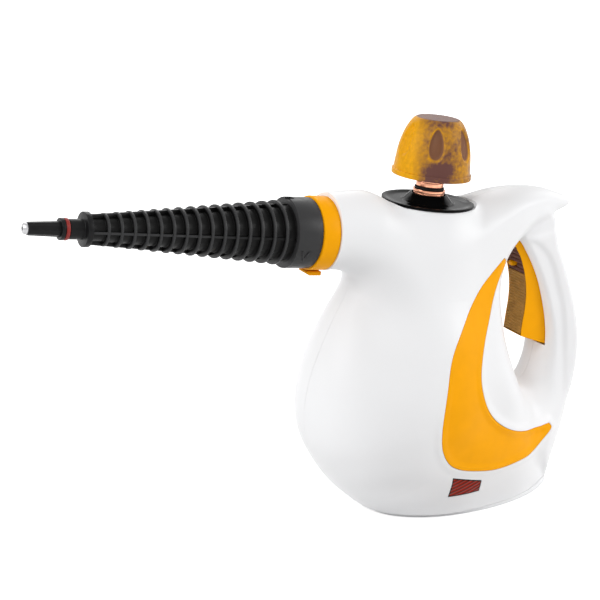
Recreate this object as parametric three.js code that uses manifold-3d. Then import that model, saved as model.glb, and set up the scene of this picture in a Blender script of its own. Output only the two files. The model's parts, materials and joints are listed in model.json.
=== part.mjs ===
// Handheld pressurised steam cleaner: a moulded two-half housing with a loop handle and a trigger,
// a long ribbed nozzle on a bayonet ring, and a screw-in filler cap over a small boiler.
// Millimetres, +Z up, the nozzle points to -X, origin at the middle of the flat underside.
import * as THREE from "three";
import { mergeVertices } from "three/addons/utils/BufferGeometryUtils.js";
import Module from "manifold-3d";

const wasm = await Module();
wasm.setup();

// Driving dimensions.
const span = 200; // reference span that the share tables below are multiples of
const gap = 0.3; // clearance between a piece and its neighbour
const weld = 0.0001; // vertices nearer than this are one vertex
const half = 0.5;
const fine = 26; // sides of a visible turned piece
const plain = 12; // sides of a hidden turned piece
const small = 8; // sides of a screw or a pin
const far = 400; // longer than the whole object

const skin = {
  wall: 3.2, inlayDepth: 1.9, inlay: 1.2, inlayGap: 0.5, coarse: 13, close: 8, innerStep: 22, inlayStep: 18,
  handleHalf: 7.6, boreEnd: 46, blend: 18, seatBlend: 9, crease: 2.5, sag: 13, sagTop: 105, sagTopFade: 14,
  sagLow: 28, sagLowFade: 7,
};
const spout = { x: -110.5, z: 188.7, pitch: 8.4, faceBack: 11.1, bore: 20.4 };
const seat = {
  x: -27.4, z: 198.6, lean: 7, pocket: 28.8, depth: 2, floor: 3.4, step: 2.2, scoopRadius: 36, scoopRise: 3,
  scoopFar: 66, scoopTop: 15, hole: 11, keep: 33, keepTop: 30, boss: 27.5, bossDepth: 45, bossTop: 0.5,
  bossTaper: 0.1, bossDrop: 5,
};
const foot = {
  halfLength: 65.5, halfWidth: 36, thick: 3, rimInset: 7.6, rimShort: 5.5, rimWall: 2, rimTop: 7, sides: 24,
};
const ring = {
  outer: 22, length: 10.8, lip: 3.6, bore: 14.8, recess: 17.8, spigot: 19.8, spigotLength: 11, edge: 0.8,
};
const lug = { outer: 16.6, inner: 13, start: 4.2, end: 9.4, width: 10, slot: 11.6, turn: 45 };
const latch = { length: 10, ahead: -0.5, rise: 3, width: 10, chamfer: 2.2, travel: 3, sink: 0.2 };
const nozzle = {
  sides: 14, collar: 21, collarStart: 0.4, collarEnd: 15.4, neck: 18.2, ribFirst: 22.7, ribPitch: 7.57,
  ribs: 15, ribBase: 18.9, ribTip: 9.4, ribThick: 1.5, coreBaseShare: 0.87, coreTipShare: 0.75,
  flangeStart: 136.6,
  flangeEnd: 141.1, flange: 9.6, rod: 5.7, rodEnd: 149.6, ringSeat: 4.8, ringEnd: 152.4, collet: 6.2,
  colletEnd: 154.6, tipBase: 4.4, tipEnd: 171.2, tip: 3.8, bore: 2.6, spigot: 12.9, spigotBack: 10,
  hollow: 10.6, web: 1.7, webShare: 0.97, notchWide: 6, notchLong: 3.4, notchDeep: 1.6,
};
const insert = { outer: 3.2, bore: 1.1, start: 166.2, end: 174.5, step: 2.3, lipOuter: 3.7 };
const sealRing = { inner: 5, outer: 6.3, start: 149.9, end: 152.1, edge: 0.4 };
const connector = {
  rear: 35.6, flangeRear: 14, flangeFront: 11.4, front: 1.5, outer: 7.5, flange: 17, nose: 9.8, bore: 2.4,
};
const valve = { rear: 56, front: 36, wide: 18, top: 6, low: 8, boreDepth: 7, through: 2.4 };
const solenoid = {
  rear: 57.5, front: 41, wide: 21, drop: 8.3, tall: 21, bore: 3.4, core: 3, coreDrop: 4, coreTall: 22,
  travel: 2.5,
};
const disc = {
  outer: 28.4, base: 1.7, rimIn: 26.4, dish: 0.9, dishOut: 23, dishIn: 16.5, bossFoot: 15, bossTop: 2.6,
  boss: 11.5, bore: 10.4, sides: 30,
};
const neck = {
  outer: 9.9, bore: 7.4, top: 7, foot: 73.6, flange: 12.6, flangeThick: 2.4, grooveRadius: 9.2,
  grooveLow: 4.6, grooveHigh: 5.4,
};
const cap = {
  low: 15, lip: 24.3, lipTop: 18, top: 50.5, flutes: 6, fluteDeep: 2, fluteWide: 5.2, fluteTall: 10.5,
  fluteAt: 36.5, fluteRadius: 21.4, fluteLean: 17, fluteSides: 7, fluteRings: 4,
};
const core = { low: 15.2, deck: 18, plate: 20.5, hub: 10, top: 38, bore: 6.4 };
const stem = {
  collar: 8.5, collarLow: 8.6, collarTop: 14.9, shank: 6.1, shankTop: 36, thread: 6.6, crest: 7.1,
  threads: 3, pitch: 2, low: -4, vent: 1.6, ventTop: 12,
  threadShares: [[0, 0], [1, 0.3], [1, 0.4], [0, 0.7]],
};
const capSeal = { inner: 7.2, outer: 9, low: 7.15, top: 8.4 };
const capSpring = { radius: 13.2, wire: 0.7, low: 18.4, top: 42.5, turns: 4, sides: 4, perTurn: 7 };
const boiler = {
  wall: 1.6, radius: 33, flangeOut: 8, split: 100, low: 147, corner: 8, shoulderIn: 7,
  flangeThick: 2, gasket: 1.4, boltOut: 4.2, boltHole: 2.3, outlet: 20.2, outletHole: 1.5, sides: 16,
};
boiler.inner = boiler.radius - boiler.wall;
boiler.flange = boiler.radius + boiler.flangeOut;
boiler.shoulder = boiler.radius - boiler.shoulderIn;
boiler.boltRing = boiler.radius + boiler.boltOut;
const bolt = { shank: 2, head: 3.5, headTall: 2.4, nut: 2, count: 4, sides: 6 };
const heater = { coil: 20, wire: 3, drop: 3.15, sweep: 290, steps: 20, sides: 8 };
const thermostat = { radius: 9, tall: 6, base: 11.5, baseThick: 1.2 };
const fuse = { radius: 2.6, length: 20, out: 2.9 };
fuse.drop = (boiler.split + boiler.low) * half;
const shelf = { reach: 15, clear: 1.5, thick: 3 };
shelf.inner = boiler.radius + shelf.clear;
const steamTube = { radius: 2, sides: 8, steps: 14 };
const trigger = {
  pivotX: 44, pivotZ: 168.4, halfWidth: 10, pin: 2, pinHalf: 12.3, eye: 2.35, slotHalf: 10.5,
  padHalf: 8.9, padDepth: 1.8, rib: 0.7, ribs: 12, padMid: 143, coarse: 4, coarseSink: 0.9,
};
const lock = { x: 41.5, z: 147.8, halfWidth: 2, tall: 3, deep: 5, slotHalf: 3.6, proud: 1.2, y: 3.6 };
const switchBox = {
  x: 64, z: 136.5, halfX: 2.9, halfY: 5, halfZ: 5.5, plunger: 1.5, plungerOut: 3.9, plungerIn: 1.6,
  hole: 1.9, holeDeep: 4.7, shelf: 3,
};
const spring = { radius: 3.2, wire: 0.6, turns: 4, sides: 4, perTurn: 7 };
const lamp = { thick: 1.6, deep: 60, margin: 36, step: 9 };
const gland = {
  x: 70.4, z: 25, radius: 5.2, bore: 3.3, inside: 8.5, flange: 7.2, flangeThick: 2.1, flush: 0.4,
};
const screw = {
  head: 3, headTall: 1.8, shank: 1.3, boss: 4.6, well: 3.4, wellFloor: 6, pilot: 1.6, length: 16, sides: 10,
};
const footScrew = {
  x: 34, y: 15, post: 3.8, postTop: 30, countersink: 3.2, recess: 0.5, length: 11, web: 1.2,
};
const terminal = { x: 20, length: 26, wide: 14, tall: 11 };
const board = { x: -18, length: 34, wide: 22, thick: 1.6, lift: 4.6, post: 2.4, postOut: 11.9 };

// Side view of the belly, spout sleeve and rear wing, [x, z].
const bodyOutlineShares = [
  [-0.33, -0.11], [-0.3375, -0.005], [-0.395, 0.05], [-0.465, 0.12], [-0.515, 0.195], [-0.5525, 0.275],
  [-0.5625, 0.36], [-0.5525, 0.44], [-0.53, 0.515], [-0.495, 0.595], [-0.4575, 0.67], [-0.425, 0.725],
  [-0.41, 0.76], [-0.42, 0.795], [-0.465, 0.82], [-0.54, 0.829], [-0.625, 0.84], [-0.625, 1.058],
  [-0.54, 1.056], [-0.46, 1.055], [-0.39, 1.0525], [-0.33, 1.04], [-0.28, 1.01], [-0.225, 0.985],
  [-0.15, 0.97], [-0.06, 0.9675], [0.03, 0.9825], [0.125, 0.995], [0.21, 0.994], [0.28, 0.9825],
  [0.335, 0.9625], [0.3825, 0.9375], [0.375, 0.9175], [0.325, 0.9], [0.275, 0.89], [0.22, 0.875],
  [0.17, 0.84], [0.125, 0.7935], [0.099, 0.735], [0.0925, 0.665], [0.1, 0.5975], [0.114, 0.525],
  [0.14, 0.44], [0.18, 0.36], [0.23, 0.3], [0.275, 0.24], [0.305, 0.15], [0.3225, 0.06], [0.325, -0.11],
  [0.25, -0.375], [-0.25, -0.375],
];
// Side view of the handle loop, [x, z].
const handleOutlineShares = [
  [0.23, 0.95], [0.29, 0.925], [0.3175, 0.89], [0.3175, 0.85], [0.3225, 0.81], [0.3475, 0.745],
  [0.3825, 0.64], [0.4075, 0.535], [0.4175, 0.45], [0.4125, 0.355], [0.3925, 0.25], [0.365, 0.155],
  [0.3375, 0.075], [0.325, 0.03], [0.3, -0.02], [0.25, 0.02], [0.17, 0.06], [0.13, 0.15], [0.165, 0.235],
  [0.2025, 0.29], [0.2325, 0.3325], [0.2575, 0.375], [0.276, 0.43], [0.281, 0.49], [0.2745, 0.56],
  [0.258, 0.63], [0.2355, 0.7], [0.21, 0.755], [0.178, 0.81], [0.155, 0.85],
];
// Half width of the body at places of the side view, [x, z, half width].
const bodyWidthShares = [
  [-0.225, 0.425, 0.31], [-0.4, 0.375, 0.29], [-0.5, 0.375, 0.26], [-0.3, 0.2, 0.285], [-0.1, 0.19, 0.275],
  [0.075, 0.2, 0.245], [0.2, 0.175, 0.195], [0.3, 0.15, 0.15], [-0.2, 0.6, 0.28], [-0.4, 0.6, 0.24],
  [-0.05, 0.475, 0.265], [0.075, 0.4, 0.22], [0.15, 0.325, 0.19], [0, 0.6, 0.205], [0.075, 0.6, 0.15],
  [-0.5, 0.935, 0.109], [-0.35, 0.93, 0.1225], [-0.375, 0.75, 0.16], [-0.25, 0.775, 0.195],
  [-0.175, 0.925, 0.15], [-0.05, 0.925, 0.15], [-0.125, 0.775, 0.19], [0.025, 0.8, 0.145],
  [0.1, 0.925, 0.12], [0.2, 0.95, 0.095], [0.3, 0.95, 0.055], [0.375, 0.94, 0.03], [0.125, 0.825, 0.1],
  [0.075, 0.725, 0.13], [-0.3, 0, 0.18], [-0.15, 0, 0.1825], [0, 0, 0.18], [0.15, 0, 0.17],
  [0.3, 0, 0.145], [-0.3, -0.125, 0.165], [0, -0.125, 0.17], [0.3, -0.125, 0.14],
];
// Depth over which the body's edge rounds off, [x, z, depth].
const bodyRoundShares = [
  [-0.225, 0.425, 0.3], [-0.4, 0.375, 0.275], [-0.3, 0.175, 0.27], [-0.1, 0.175, 0.27],
  [0.15, 0.175, 0.23], [0.3, 0.125, 0.23], [-0.2, 0.6, 0.25], [-0.375, 0.6, 0.225], [0, 0.5, 0.15],
  [0.075, 0.425, 0.1], [0.06, 0.6, 0.08], [0.075, 0.725, 0.065], [0.125, 0.825, 0.045],
  [0.225, 0.925, 0.04], [0.35, 0.94, 0.025], [-0.5, 0.935, 0.11], [-0.35, 0.93, 0.12],
  [-0.375, 0.75, 0.15], [-0.25, 0.775, 0.18], [-0.175, 0.925, 0.1], [-0.05, 0.925, 0.085],
  [0.05, 0.825, 0.08], [-0.125, 0.75, 0.17], [-0.3, 0, 0.28], [0, 0, 0.3], [0.3, 0, 0.32],
  [-0.3, -0.125, 0.3], [0, -0.125, 0.3], [0.3, -0.125, 0.32],
];
// Half width of the handle, [x, z, half width].
const handleWidthShares = [
  [0.375, 0.5, 0.0825], [0.35, 0.75, 0.0775], [0.3, 0.9, 0.065], [0.39, 0.3, 0.09], [0.35, 0.15, 0.125],
  [0.275, 0.1, 0.14], [0.2, 0.15, 0.165], [0.275, 0.8, 0.07],
];
// Edge rounding of the handle, [x, z, depth].
const handleRoundShares = [
  [0.36, 0.5, 0.0325], [0.33, 0.75, 0.03], [0.3, 0.9, 0.03], [0.38, 0.3, 0.055], [0.35, 0.15, 0.15],
  [0.275, 0.075, 0.17], [0.2, 0.15, 0.12],
];
// Crescent inlay, its outer edge from the upper to the lower tip, [x, z].
const crescentOuterShares = [
  [0.065, 0.8115], [0.015, 0.7775], [-0.05, 0.739], [-0.136, 0.6655], [-0.2045, 0.5835], [-0.238, 0.4895],
  [-0.254, 0.3805], [-0.2495, 0.3125], [-0.236, 0.2745], [-0.2085, 0.236], [-0.166, 0.2095],
  [-0.101, 0.1885], [-0.014, 0.1695], [0.0785, 0.1655], [0.169, 0.169], [0.2255, 0.1925], [0.263, 0.2195],
  [0.255, 0.234],
];
// Crescent inlay, its inner edge back to the upper tip, [x, z].
const crescentInnerShares = [
  [0.215, 0.2325], [0.1525, 0.241], [0.1025, 0.2565], [0.047, 0.2815], [0, 0.312], [-0.039, 0.3485],
  [-0.071, 0.3955], [-0.0895, 0.452], [-0.0905, 0.4955], [-0.0755, 0.545], [-0.052, 0.591],
  [-0.021, 0.642], [0.0155, 0.7105], [0.0445, 0.7525], [0.073, 0.785], [0.075, 0.8025],
];
// Corners of the indicator lamp, [x, z].
const lampShares = [
  [-0.1845, 0.179], [-0.0655, 0.139], [-0.0575, 0.093], [-0.1665, 0.0915],
];
// Opening for the trigger in the handle, [x, z].
const slotShares = [
  [0.163, 0.8625], [0.245, 0.8775], [0.285, 0.8], [0.32, 0.7], [0.345, 0.59], [0.3575, 0.4475],
  [0.285, 0.466], [0.15, 0.5], [0.155, 0.8],
];
// Side view of the trigger, front edge down and hidden rear edge up, [x, z].
const triggerShares = [
  [0.17, 0.855], [0.163, 0.816], [0.1815, 0.779], [0.195, 0.74], [0.2045, 0.7015], [0.2095, 0.655],
  [0.2075, 0.6055], [0.2005, 0.5585], [0.1945, 0.5115], [0.24, 0.4915], [0.31, 0.463], [0.31, 0.55],
  [0.2865, 0.655], [0.267, 0.75], [0.25, 0.815], [0.243, 0.863],
];
// Outer side of the cap above its lip, [radius, height].
const capSideShares = [
  [0.117, 0.0915], [0.1145, 0.12], [0.1105, 0.155], [0.102, 0.191], [0.09, 0.221], [0.077, 0.242],
  [0.068, 0.2505], [0.063, 0.2525],
];
// Inner side of the cap, [radius, height].
const capInnerShares = [
  [0.107, 0.075], [0.103, 0.13], [0.0905, 0.18], [0.081, 0.205], [0.066, 0.2275], [0, 0.2315],
];
// Middle line of the steam tube, [x, z].
const steamLineShares = [
  [-0.282, 0.6405], [-0.2735, 0.71], [-0.2545, 0.8], [-0.248, 0.855], [-0.2505, 0.88], [-0.2585, 0.894],
  [-0.2742, 0.8972],
];
// Front line of the trigger pad, [x, z].
const padShares = [
  [0.1948, 0.514], [0.2005, 0.5585], [0.2075, 0.6055], [0.2095, 0.655], [0.2045, 0.7015], [0.195, 0.74],
  [0.1815, 0.779], [0.1655, 0.811],
];
// Hollow of the handle, [x, z].
const handleHollowShares = [
  [0.1, -0.05], [0.3, -0.05], [0.305, 0.015], [0.317, 0.075], [0.3425, 0.155], [0.37, 0.25], [0.39, 0.355],
  [0.395, 0.45], [0.385, 0.535], [0.36, 0.64], [0.325, 0.745], [0.3, 0.81], [0.29, 0.87], [0.235, 0.88],
  [0.23, 0.83], [0.2425, 0.76], [0.27, 0.69], [0.2925, 0.61], [0.3025, 0.525], [0.3025, 0.44],
  [0.2875, 0.375], [0.26, 0.315], [0.23, 0.255], [0.19, 0.21], [0.1, 0.18],
];
// Ends of the trigger spring, [x, z].
const springShares = [
  [0.285, 0.59], [0.367, 0.59],
];
// One rib of the trigger pad: share of the pitch, share of the rib depth.
const ribShares = [
  [0, 0], [0.4, 0], [0.5, 1], [0.9, 1],
];
// Grid stops of the outer surface along X, [from, whether close].
const outerXShares = [
  [-0.64, 0], [0.04, 1], [0.48, 0],
];
// Grid stops of the outer surface along Y, [from, whether close].
const outerYShares = [
  [-0.36, 0], [-0.13, 1], [0.13, 0], [0.36, 0],
];
// Grid stops of the outer surface along Z, [from, whether close].
const outerZShares = [
  [-0.07, 0], [0.8, 1], [1.1, 0],
];
// Box round the hollow of the body, low and high corner.
const innerBoxShares = [
  [-0.67, -0.33, -0.09], [0.46, 0.33, 1.07],
];
// Box round the crescent inlays, low and high corner.
const inlayBoxShares = [
  [-0.33, -0.36, 0.11], [0.33, 0.36, 0.88],
];
// Screw bosses that join the housing halves, [x, z].
const bossShares = [
  [-0.49, 0.37], [0.07, 0.905], [0.365, 0.34], [0.245, 0.11],
];

// Shared helpers.
const radians = THREE.MathUtils.degToRad;

function solidFrom(positions, triangles) {
  return new wasm.Manifold(new wasm.Mesh({ numProp: 3, vertProperties: positions, triVerts: triangles }));
}

// A closed three.js geometry as a solid, facing outward.
function solid(geometry, reach = weld) {
  const bare = geometry.index ? geometry.toNonIndexed() : geometry.clone();
  bare.deleteAttribute("normal");
  bare.deleteAttribute("uv");
  const merged = mergeVertices(bare, reach);
  const corners = merged.index.array;
  const kept = [];
  for (let i = 0; i < corners.length; i += 3) {
    const [a, b, c] = [corners[i], corners[i + 1], corners[i + 2]];
    if (a !== b && b !== c && c !== a) kept.push(a, b, c);
  }
  const made = solidFrom(merged.attributes.position.array, new Uint32Array(kept));
  if (made.volume() > 0) return made;
  return solidFrom(merged.attributes.position.array, new Uint32Array(kept.reverse()));
}

// Corners closer than one of these in a finished piece are made one.
const finish = [0.03, 0.02, 0.04, 0.01, 0.05, 0.006, 0.07, 0.003, 0.09, 0.12, 0.15];
const grain = 10000; // corners are told apart to this share of a millimetre
const fewFaces = 50; // a piece with fewer faces keeps its corners

// Whether each edge has exactly two faces.
function twoSided(made) {
  const { vertProperties, triVerts, numProp } = made.getMesh();
  const name = (v) => [0, 1, 2].map((m) => Math.round(vertProperties[v * numProp + m] * grain)).join();
  const faces = new Map();
  for (let i = 0; i < triVerts.length; i += 3)
    for (let m = 0; m < 3; m++) {
      const pair = [name(triVerts[i + m]), name(triVerts[i + ((m + 1) % 3)])].sort().join("/");
      faces.set(pair, (faces.get(pair) || 0) + 1);
    }
  return [...faces.values()].every((count) => count === 2);
}

function bareGeometry({ vertProperties, triVerts, numProp }) {
  const geometry = new THREE.BufferGeometry();
  geometry.setAttribute("position", new THREE.BufferAttribute(new Float32Array(vertProperties), numProp));
  geometry.setIndex(new THREE.BufferAttribute(new Uint32Array(triVerts), 1));
  return geometry;
}

// The solid with its near corners joined, as long as it stays one closed body.
function tidied(made) {
  if (twoSided(made) && made.numTri() < fewFaces) return made;
  for (const reach of finish) {
    try {
      const held = made.getMesh();
      const next = solid(bareGeometry(held), reach);
      if (next.decompose().length === 1 && twoSided(next)) return next;
    } catch {
      continue;
    }
  }
  return made;
}

function geometryOf(rough) {
  const geometry = bareGeometry(tidied(rough).getMesh());
  geometry.computeVertexNormals();
  return geometry;
}

function sum(solids) {
  return solids.reduce((all, one) => all.add(one));
}

// Turned piece about +Z from [radius, height] pairs.
function turned(profile, sides = plain, matrix = null) {
  const geometry = new THREE.LatheGeometry(profile.map(([r, h]) => new THREE.Vector2(r, h)), sides);
  geometry.rotateX(Math.PI / 2);
  if (matrix) geometry.applyMatrix4(matrix);
  return solid(geometry);
}

function rod(radius, low, high, sides = plain, matrix = null) {
  return turned([[0, low], [radius, low], [radius, high], [0, high]], sides, matrix);
}

function tube(inner, outer, low, high, sides = plain, matrix = null) {
  return turned([[inner, low], [outer, low], [outer, high], [inner, high], [inner, low]], sides, matrix);
}

function block(from, to, matrix = null) {
  const size = to.map((value, i) => value - from[i]);
  const geometry = new THREE.BoxGeometry(...size);
  geometry.translate(...from.map((value, i) => value + size[i] * half));
  if (matrix) geometry.applyMatrix4(matrix);
  return solid(geometry);
}

// A side-view outline of [x, z] pairs, extruded across the object from y = from to y = to.
function slab(outline, from, to) {
  const shape = new THREE.Shape(outline.map(([x, z]) => new THREE.Vector2(x, z)));
  const geometry = new THREE.ExtrudeGeometry(shape, { depth: to - from, bevelEnabled: false });
  geometry.rotateX(Math.PI / 2);
  geometry.translate(0, to, 0);
  return solid(geometry);
}

function disk(radius, sides) {
  const corners = Array.from({ length: sides }, (_, i) => (i / sides) * Math.PI * 2);
  return new THREE.Shape(corners.map((a) => new THREE.Vector2(radius * Math.cos(a), radius * Math.sin(a))));
}

// A round bar along a curve.
function swept(curve, radius, sides, steps) {
  const options = { extrudePath: curve, steps, bevelEnabled: false };
  return solid(new THREE.ExtrudeGeometry(disk(radius, sides), options));
}

class Helix extends THREE.Curve {
  constructor(radius, low, high, turns) {
    super();
    Object.assign(this, { radius, low, high, turns });
  }

  getPoint(t, target = new THREE.Vector3()) {
    const angle = t * this.turns * Math.PI * 2;
    const height = this.low + (this.high - this.low) * t;
    return target.set(this.radius * Math.cos(angle), this.radius * Math.sin(angle), height);
  }
}

function coil({ radius, wire, low, top, turns, sides, perTurn }) {
  return swept(new Helix(radius, low + wire, top - wire, turns), wire, sides, Math.round(turns * perTurn));
}

// Axis frames: local Z runs along the given direction.
function frameAt(x, y, z, forward, up) {
  const along = forward.clone().normalize();
  const side = new THREE.Vector3().crossVectors(up, along).normalize();
  const over = new THREE.Vector3().crossVectors(along, side);
  return new THREE.Matrix4().makeBasis(side, over, along).setPosition(x, y, z);
}

const vertical = new THREE.Vector3(0, 0, 1);
const pitchAngle = radians(spout.pitch);
const leanAngle = radians(seat.lean);
const forward = new THREE.Vector3(-Math.cos(pitchAngle), 0, Math.sin(pitchAngle));
const capAxis = new THREE.Vector3(Math.sin(leanAngle), 0, Math.cos(leanAngle));
const spoutFrame = frameAt(spout.x, 0, spout.z, forward, vertical);
const crosswise = new THREE.Vector3(0, 1, 0);
// Cap frame: local X points to the rear, local Y across, local Z up the cap.
const capFrame = new THREE.Matrix4()
  .makeBasis(new THREE.Vector3(Math.cos(leanAngle), 0, -Math.sin(leanAngle)), crosswise, capAxis)
  .setPosition(seat.x, 0, seat.z);
const acrossFrame = (x, z) => frameAt(x, 0, z, crosswise, vertical);
const rearFrame = (x, z) => frameAt(x, 0, z, new THREE.Vector3(1, 0, 0), vertical);
const uprightFrame = (x, y) => new THREE.Matrix4().makeTranslation(x, y, 0);

// The moulded body as a level-set field.
const scaled = (table) => table.map((row) => row.map((value) => value * span));

// Closed smooth outline through the table's points.
function outlineOf(shares, perSegment) {
  const points = scaled(shares).map(([x, z]) => new THREE.Vector3(x, z, 0));
  const curve = new THREE.CatmullRomCurve3(points, true, "centripetal");
  return curve.getPoints(points.length * perSegment).slice(0, -1).map((p) => [p.x, p.y]);
}

const perSegment = 5;
const loopOutline = outlineOf(bodyOutlineShares, perSegment);
const handleOutline = outlineOf(handleOutlineShares, perSegment);

// Distance to a closed outline, positive inside.
function depthIn(outline, x, z) {
  let best = Infinity;
  let inside = false;
  for (let i = 0, j = outline.length - 1; i < outline.length; j = i++) {
    const [ax, az] = outline[j];
    const [bx, bz] = outline[i];
    const ex = bx - ax;
    const ez = bz - az;
    const t = Math.min(1, Math.max(0, ((x - ax) * ex + (z - az) * ez) / (ex * ex + ez * ez)));
    const dx = x - ax - t * ex;
    const dz = z - az - t * ez;
    best = Math.min(best, dx * dx + dz * dz);
    if (az > z !== bz > z && x < ax + ((z - az) / ez) * ex) inside = !inside;
  }
  return inside ? Math.sqrt(best) : -Math.sqrt(best);
}

// A value blended between the table's stations of [x, z, value]; far from them all the nearest rules.
const faint = 1e-12;
function blended(stations, x, z) {
  let top = 0;
  let low = 0;
  for (const [sx, sz, value] of stations) {
    const square = (x - sx) ** 2 + (z - sz) ** 2;
    const weight = Math.exp(-square / (2 * skin.blend ** 2)) + faint / (1 + square);
    top += weight * value;
    low += weight;
  }
  return top / low;
}

function softMin(a, b, k) {
  const h = Math.min(1, Math.max(0, half + (half * (b - a)) / k));
  return b * (1 - h) + a * h - k * h * (1 - h);
}

const fade = (value) => 1 / (1 + Math.exp(value));
const bodyWidths = scaled(bodyWidthShares);
const bodyRounds = scaled(bodyRoundShares);
const handleWidths = scaled(handleWidthShares);
const handleRounds = scaled(handleRoundShares);

// Rounded swelling of an outline: half width and edge rounding vary over the side view.
function swelling(depth, round, width, y) {
  const u = 1 - Math.min(depth, round) / round;
  return (Math.sqrt(u * u + (y / width) ** 2) - 1) * Math.min(round, width);
}

// How much the crease between body and handle softens at a height.
const sagAt = (z) => fade((z - skin.sagTop) / skin.sagTopFade) * fade((skin.sagLow - z) / skin.sagLowFade);

const columns = new Map();
function column(x, z) {
  const key = `${x}|${z}`;
  let held = columns.get(key);
  if (!held) {
    held = {
      body: depthIn(loopOutline, x, z), handle: depthIn(handleOutline, x, z),
      bodyWidth: blended(bodyWidths, x, z), bodyRound: blended(bodyRounds, x, z),
      handleWidth: blended(handleWidths, x, z), handleRound: blended(handleRounds, x, z),
      soft: skin.crease + skin.sag * sagAt(z),
    };
    columns.set(key, held);
  }
  return held;
}

// Negative inside the body, close to millimetres near its surface.
function bodyField(x, y, z) {
  const c = column(x, z);
  const loop = swelling(c.body, c.bodyRound, c.bodyWidth, y);
  const handle = swelling(c.handle, c.handleRound, c.handleWidth, y);
  const px = x - seat.x;
  const pz = z - seat.z;
  const height = px * capAxis.x + pz * capAxis.z;
  const across = px * capAxis.z - pz * capAxis.x;
  const radius = Math.hypot(across, y);
  const wall = radius - seat.boss + seat.bossTaper * (height + seat.bossDrop);
  const boss = Math.max(wall, height + seat.bossTop, -(height + seat.bossDepth));
  return softMin(softMin(loop, boss, skin.seatBlend), handle, c.soft);
}

// Even steps between stops: [[from, step], ..., [end]].
function ticks(stops) {
  const marks = [];
  for (let i = 0; i + 1 < stops.length; i++) {
    const [from, step] = stops[i];
    const reach = stops[i + 1][0] - from;
    const count = Math.max(1, Math.round(reach / step));
    for (let n = 0; n < count; n++) marks.push(from + (reach * n) / count);
  }
  return [...marks, stops[stops.length - 1][0]];
}

const evenGrid = ([low, high], step) => low.map((value, i) => ticks([[value, step], [high[i]]]));

// Surface nets over a grid of marks along X, Y and Z, then each vertex is pulled onto the surface.
function netOf(field, marks) {
  const [nx, ny, nz] = marks.map((list) => list.length);
  const at = (i, j, k) => (i * ny + j) * nz + k;
  const values = new Float64Array(nx * ny * nz);
  for (let i = 0; i < nx; i++)
    for (let j = 0; j < ny; j++)
      for (let k = 0; k < nz; k++) {
        const onEdge = i === 0 || j === 0 || k === 0 || i === nx - 1 || j === ny - 1 || k === nz - 1;
        const value = field(marks[0][i], marks[1][j], marks[2][k]);
        values[at(i, j, k)] = onEdge ? Math.max(value, weld) : value;
      }
  const ids = new Int32Array(nx * ny * nz).fill(-1);
  const positions = [];
  const corner = (n) => [n & 1, (n >> 1) & 1, (n >> 2) & 1];
  for (let i = 0; i < nx - 1; i++)
    for (let j = 0; j < ny - 1; j++)
      for (let k = 0; k < nz - 1; k++) {
        const total = [0, 0, 0];
        let found = 0;
        for (let a = 0; a < 8; a++)
          for (let axis = 0; axis < 3; axis++) {
            if (a & (1 << axis)) continue;
            const p = corner(a);
            const q = corner(a | (1 << axis));
            const va = values[at(i + p[0], j + p[1], k + p[2])];
            const vb = values[at(i + q[0], j + q[1], k + q[2])];
            if (va < 0 === vb < 0) continue;
            const t = va / (va - vb);
            for (let m = 0; m < 3; m++) total[m] += p[m] + (q[m] - p[m]) * t;
            found += 1;
          }
        if (!found) continue;
        const sizes = [i, j, k].map((n, m) => marks[m][n + 1] - marks[m][n]);
        const point = [i, j, k].map((n, m) => marks[m][n] + (total[m] / found) * sizes[m]);
        ids[at(i, j, k)] = positions.length / 3;
        positions.push(...settled(field, point, Math.min(...sizes)));
      }
  const triangles = [];
  const quad = (a, b, c, d, flip) => triangles.push(...(flip ? [a, c, b, a, d, c] : [a, b, c, a, c, d]));
  for (let i = 0; i < nx - 1; i++)
    for (let j = 0; j < ny - 1; j++)
      for (let k = 0; k < nz - 1; k++) {
        const here = values[at(i, j, k)] < 0;
        const near = (di, dj, dk) => ids[at(i - di, j - dj, k - dk)];
        if (here !== values[at(i + 1, j, k)] < 0)
          quad(near(0, 1, 1), near(0, 0, 1), near(0, 0, 0), near(0, 1, 0), !here);
        if (here !== values[at(i, j + 1, k)] < 0)
          quad(near(1, 0, 1), near(0, 0, 1), near(0, 0, 0), near(1, 0, 0), here);
        if (here !== values[at(i, j, k + 1)] < 0)
          quad(near(1, 1, 0), near(0, 1, 0), near(0, 0, 0), near(1, 0, 0), !here);
      }
  return solidFrom(new Float32Array(positions), new Uint32Array(triangles));
}

const probe = 0.4; // half the length over which a slope is measured
const pulls = 3;

// A point pulled onto the surface of the field, unless that takes it out of its cell.
function settled(field, point, step) {
  const p = [...point];
  for (let n = 0; n < pulls; n++) {
    const value = field(...p);
    const slope = p.map((_, m) => {
      const up = [...p];
      const down = [...p];
      up[m] += probe;
      down[m] -= probe;
      return (field(...up) - field(...down)) / (2 * probe);
    });
    const square = slope.reduce((all, s) => all + s * s, 0);
    if (square < weld) break;
    const reach = Math.min(1, (step * half * Math.sqrt(square)) / Math.abs(value || weld));
    for (let m = 0; m < 3; m++) p[m] -= (reach * value * slope[m]) / square;
  }
  return p.every((value, m) => Math.abs(value - point[m]) < step) ? p : point;
}

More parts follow.
